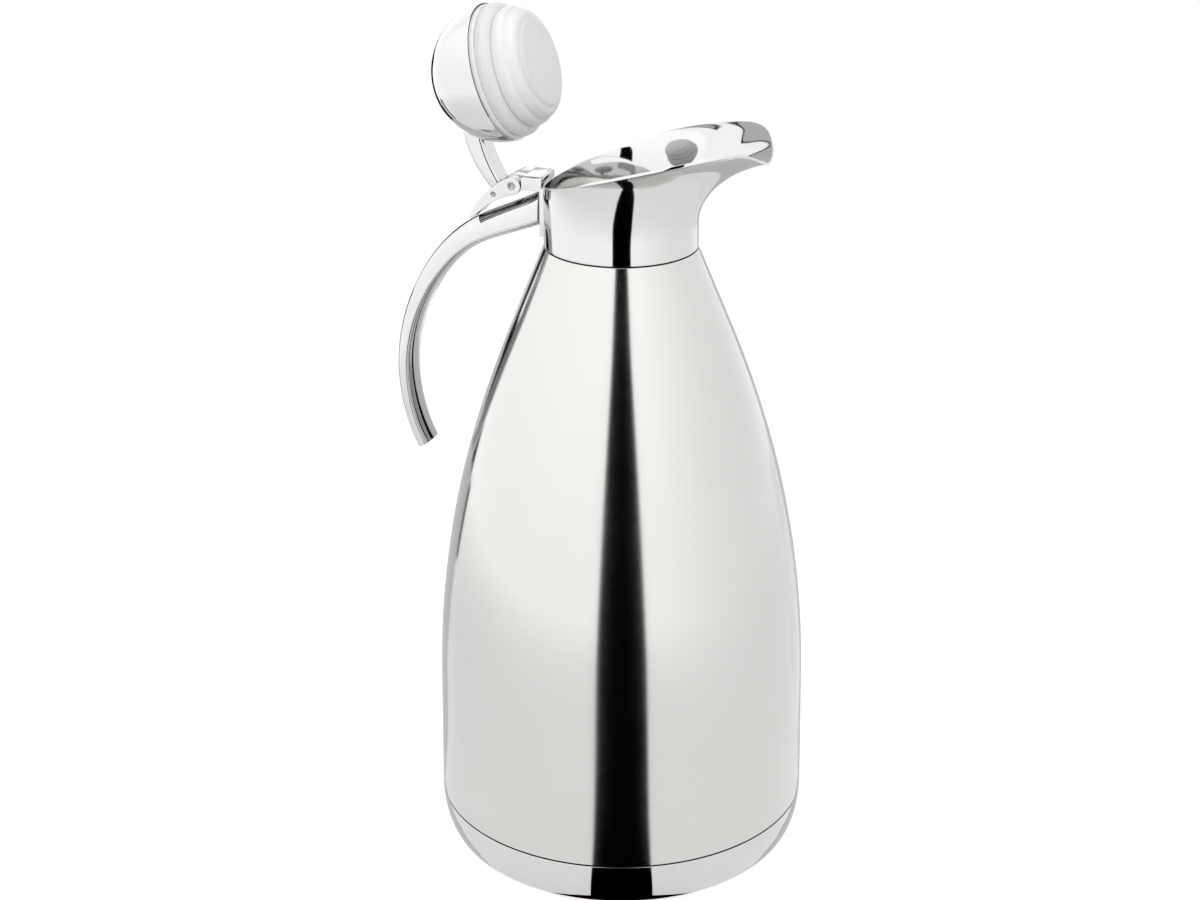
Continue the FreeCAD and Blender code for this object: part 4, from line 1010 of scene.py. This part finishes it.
DIM_SIDE = (0.82, 0.57, 0.0)     # behind the jug to the right, a little darker than elsewhere
SKY_LOW = 1.51           # what the steel sees of the surroundings, level with it
SKY_HIGH = 1.66          # and overhead
SKY_DIM = 0.8            # share that is left on the dim side
SKY_FILL = 0.52          # light from all round on dull surfaces
world = bpy.data.worlds.new("surroundings")
scene.world = world
world.use_nodes = True
tree = world.node_tree
tree.nodes.clear()
path = add_node(tree, "ShaderNodeLightPath")
seen = add_node(tree, "ShaderNodeMath", [path.outputs["Is Camera Ray"], path.outputs["Is Glossy Ray"]],
                operation="MAXIMUM")
seen = add_node(tree, "ShaderNodeMath", [seen, path.outputs["Is Transmission Ray"]], operation="MAXIMUM")
place = add_node(tree, "ShaderNodeTexCoord")
height = add_node(tree, "ShaderNodeSeparateXYZ", [place.outputs["Generated"]])
bright = add_node(tree, "ShaderNodeMapRange",
                  {0: height.outputs[2], 1: 0.0, 2: 0.6, 3: SKY_LOW, 4: SKY_HIGH})
behind = add_node(tree, "ShaderNodeVectorMath",
                  [place.outputs["Generated"], DIM_SIDE], operation="DOT_PRODUCT")
dim = add_node(tree, "ShaderNodeMapRange",
               {0: behind.outputs["Value"], 1: 0.1, 2: 1.0, 3: 1.0, 4: SKY_DIM})
bright = add_node(tree, "ShaderNodeMath", [bright, dim], operation="MULTIPLY")
strength = add_node(tree, "ShaderNodeMix", {0: path.outputs["Is Glossy Ray"], 2: 1.0, 3: bright})
strength = add_node(tree, "ShaderNodeMix", {0: seen, 2: SKY_FILL, 3: strength})
sky = add_node(tree, "ShaderNodeBackground", {"Color": (1, 1, 1, 1), "Strength": strength})
add_node(tree, "ShaderNodeOutputWorld", [sky])

made = bmesh.new()
bmesh.ops.create_circle(made, cap_ends=True, segments=64, radius=8.0)
mesh = bpy.data.meshes.new("floor")
made.to_mesh(mesh)
made.free()
floor = new_piece("floor", mesh)
floor.location = (0, 0, -0.0002)

# White floor paper: matt near the jug, where it keeps a faint shadow, and an even white further off.
FLOOR_NEAR = 0.25        # metres from the jug's axis, where the change starts
FLOOR_FAR = 0.8          # and where it ends
FLOOR_TONE = (0.72, 0.97)        # of the paper, seen directly and in the steel
FLOOR_LIFT = (0.66, 0.32)        # glow added to it, so that it shows white, again for both
FLOOR_SHEEN = (1.5, 1.2)         # what the steel sees of the far floor, and on the dim side
white_floor, tree, shader = start_material("white_floor")
tree.nodes.remove(shader)
path = add_node(tree, "ShaderNodeLightPath")
place = add_node(tree, "ShaderNodeTexCoord")
away = add_node(tree, "ShaderNodeVectorMath", [place.outputs["Object"]], operation="LENGTH")
far = add_node(tree, "ShaderNodeMapRange",
               {0: away.outputs["Value"], 1: FLOOR_NEAR, 2: FLOOR_FAR, 3: 0.0, 4: 1.0},
               interpolation_type="SMOOTHSTEP")
seen = add_node(tree, "ShaderNodeMath", [path.outputs["Is Camera Ray"], path.outputs["Is Glossy Ray"]],
                operation="MAXIMUM")
blend = add_node(tree, "ShaderNodeMath", [seen, far], operation="MULTIPLY")
lift = add_node(tree, "ShaderNodeMath", [path.outputs["Is Camera Ray"], FLOOR_LIFT[0]],
                operation="MULTIPLY")
lift = add_node(tree, "ShaderNodeMath", [path.outputs["Is Glossy Ray"], FLOOR_LIFT[1], lift],
                operation="MULTIPLY_ADD")
tone = add_node(tree, "ShaderNodeMix",
                {0: path.outputs["Is Glossy Ray"], 2: FLOOR_TONE[0], 3: FLOOR_TONE[1]})
paper = add_node(tree, "ShaderNodeBsdfDiffuse", {"Color": tone})
glow = add_node(tree, "ShaderNodeEmission", {"Color": (1, 1, 1, 1), "Strength": lift})
near = add_node(tree, "ShaderNodeAddShader", [paper, glow])
aside = add_node(tree, "ShaderNodeVectorMath", [place.outputs["Object"]], operation="NORMALIZE")
behind = add_node(tree, "ShaderNodeVectorMath", [aside, DIM_SIDE], operation="DOT_PRODUCT")
dim = add_node(tree, "ShaderNodeMapRange",
               {0: behind.outputs["Value"], 1: 0.1, 2: 1.0, 3: FLOOR_SHEEN[0], 4: FLOOR_SHEEN[1]})
sheen = add_node(tree, "ShaderNodeMix", {0: path.outputs["Is Glossy Ray"], 2: 1.0, 3: dim})
white = add_node(tree, "ShaderNodeEmission", {"Color": (1, 1, 1, 1), "Strength": sheen})
mixed = add_node(tree, "ShaderNodeMixShader", [blend, near, white])
tree.links.new(mixed.outputs[0], tree.nodes["Material Output"].inputs[0])
mesh.materials.append(white_floor)

# Card papers: flat black, and papers that glow evenly, so that the steel shows each as one plain tone.
papers = {}
papers["dark_card"], tree, shader = start_material("dark_card")
feed(tree, shader, {"Base Color": (0.0, 0.0, 0.0, 1), "Roughness": 1.0, "Specular IOR Level": 0.0})
for name, tone in (("grey_card", 0.67), ("white_card", 1.5), ("pale_card", 1.05), ("bright_card", 2.7)):
    papers[name], tree, shader = start_material(name)
    tree.nodes.remove(shader)
    glow = add_node(tree, "ShaderNodeEmission", {"Color": (1, 1, 1, 1), "Strength": tone})
    tree.links.new(glow.outputs[0], tree.nodes["Material Output"].inputs[0])


def card(name, paper, corners):
    # A flat card seen only in reflections. Corners are (towards the camera, to its right, up).
    toward = Vector((math.sin(CAMERA_TURN), -math.cos(CAMERA_TURN), 0))
    right = Vector((math.cos(CAMERA_TURN), math.sin(CAMERA_TURN), 0))
    mesh = bpy.data.meshes.new(name)
    points = [(toward * a + right * b + Vector((0, 0, c))) * MM for a, b, c in corners]
    mesh.from_pydata(points, [], [list(range(len(points)))])
    mesh.materials.append(papers[paper])
    piece = new_piece(name, mesh)
    piece.visible_camera = False
    piece.visible_diffuse = False
    piece.visible_shadow = False
    piece.visible_transmission = False


def standing(toward, places):
    # Corners of a card that faces the camera, from places (to its right, up).
    return [(toward, right, up) for right, up in places]


def laid(up, places):
    # Corners of a level card at this height, from places (towards the camera, to its right).
    return [(toward, right, up) for toward, right in places]


def foot_strip(radii, inside, turns):
    # Places along a strip around the foot: out at the radii, and back at the radius inside.
    outer = [(r * math.cos(t), r * math.sin(t)) for r, t in zip(radii, turns)]
    return outer + [(inside * math.cos(t), inside * math.sin(t)) for t in turns[::-1]]


# The dark band down the body, then the cards behind on the left, for the ball, the lip and the handle.
card("runner", "dark_card", laid(0.2, [(58, -10), (420, -106), (420, 106), (58, 10)]))
card("upright", "dark_card", standing(420, [(-106, 0), (-48, 620), (48, 620), (106, 0)]))
card("left_black", "dark_card",
     [(-452, -467, 0), (-540, -366, 0), (-540, -366, 1150), (-470, -450, 520)])
card("left_grey", "grey_card",
     [(-540, -366, 0), (-612, -223, 0), (-612, -223, 1250), (-540, -366, 1150)])
card("ball_black", "dark_card", standing(-177, [
    (-112, 205), (-140, 165), (-166, 150), (-166, 280), (-70, 300), (-70, 255)]))
card("ball_white", "white_card", standing(-177, [
    (-166, 190), (-270, 190), (-270, 700), (70, 700), (70, 300), (-70, 300), (-166, 280)]))
card("lip_grey", "grey_card", standing(-85, [
    (24, 312.5), (12, 321), (3, 329), (-5, 333), (-16, 338.5), (-25, 344),
    (-27, 364), (-24, 389), (-20, 424), (-17, 480), (70, 480), (70, 295)]))
card("lip_black", "dark_card", standing(-85.5, [
    (25, 311), (12, 319), (3, 327), (-5, 331), (-17, 336.5), (-29, 342),
    (-31, 364), (-28, 389), (-24, 424), (-21, 480), (70, 480), (70, 293)]))
card("grip_line", "dark_card", [(-91, 10, 60), (-84, 32, 60), (-84, 32, 225), (-91, 10, 225)])
card("grip_grey", "grey_card", [
    (-103, -20, 60), (-88, 24, 60), (-88, 24, 225),
    (-117, -66, 225), (-117, -66, 170), (-103, -20, 150)])

# The sides of the body, left and right, and the strips around the foot.
card("left_floor", "grey_card", laid(0.2, [
    (-20, -80), (-60, -118), (-118, -160), (-250, -285), (-452, -467), (-612, -223), (-140, -46)]))
card("left_edge", "dark_card", laid(0.3, [(-250, -285), (-452, -467), (-425, -505), (-240, -303)]))
card("back_grey", "grey_card",
     [(-612, -223, 130), (-640, 40, 130), (-640, 40, 1250), (-612, -223, 1250)])
card("right_grey", "grey_card",
     [(-555, 340, 0), (-612, 223, 0), (-612, 223, 700), (-555, 340, 640)])
card("right_floor", "grey_card", laid(0.2, [
    (-20, 80), (-60, 100), (-122, 118), (-555, 340), (-612, 223), (-138, 50)]))
card("right_soft", "pale_card", laid(0.1, [
    (-60, 76), (-100, 190), (-500, 520), (-612, 223), (-138, 50)]))
back_turns = [math.radians(45 + 15 * i) for i in range(19)]
back_radii = [min(88, 64 + 24 * min(t - back_turns[0], back_turns[-1] - t)) for t in back_turns]
card("foot_back", "grey_card", laid(0.15, foot_strip(back_radii, 58, back_turns)))
front_turns = [math.radians(5 * i) for i in range(-6, 7)]
front_radii = [68 - 22 * t * t for t in front_turns]
card("foot_front", "dark_card", laid(0.3, foot_strip(front_radii, 60, front_turns)))
card("top_white", "bright_card", laid(1250, [(-700, -450), (500, -450), (500, 450), (-700, 450)]))
card("back_floor", "grey_card", laid(0.2, [(-175, -64), (-330, -120), (-330, 120), (-175, 64)]))

LAMPS = (("key_lamp", (-0.15, -1.25, 1.35), 0.6, 6.5), ("side_lamp", (1.2, -0.5, 0.9), 0.9, 5.0),
         ("top_lamp", (-0.2, -0.2, 1.8), 1.4, 3.0))      # place and size in metres, power in watts
LAMP_AIM = Vector((0, 0, 0.15))
for name, place, size, power in LAMPS:
    lamp = bpy.data.objects.new(name, bpy.data.lights.new(name, "AREA"))
    lamp.data.size = size
    lamp.data.energy = power
    lamp.location = place
    lamp.rotation_euler = (LAMP_AIM - Vector(place)).to_track_quat("-Z", "Y").to_euler()
    lamp.visible_glossy = False
    lamp.visible_camera = False
    scene.collection.objects.link(lamp)
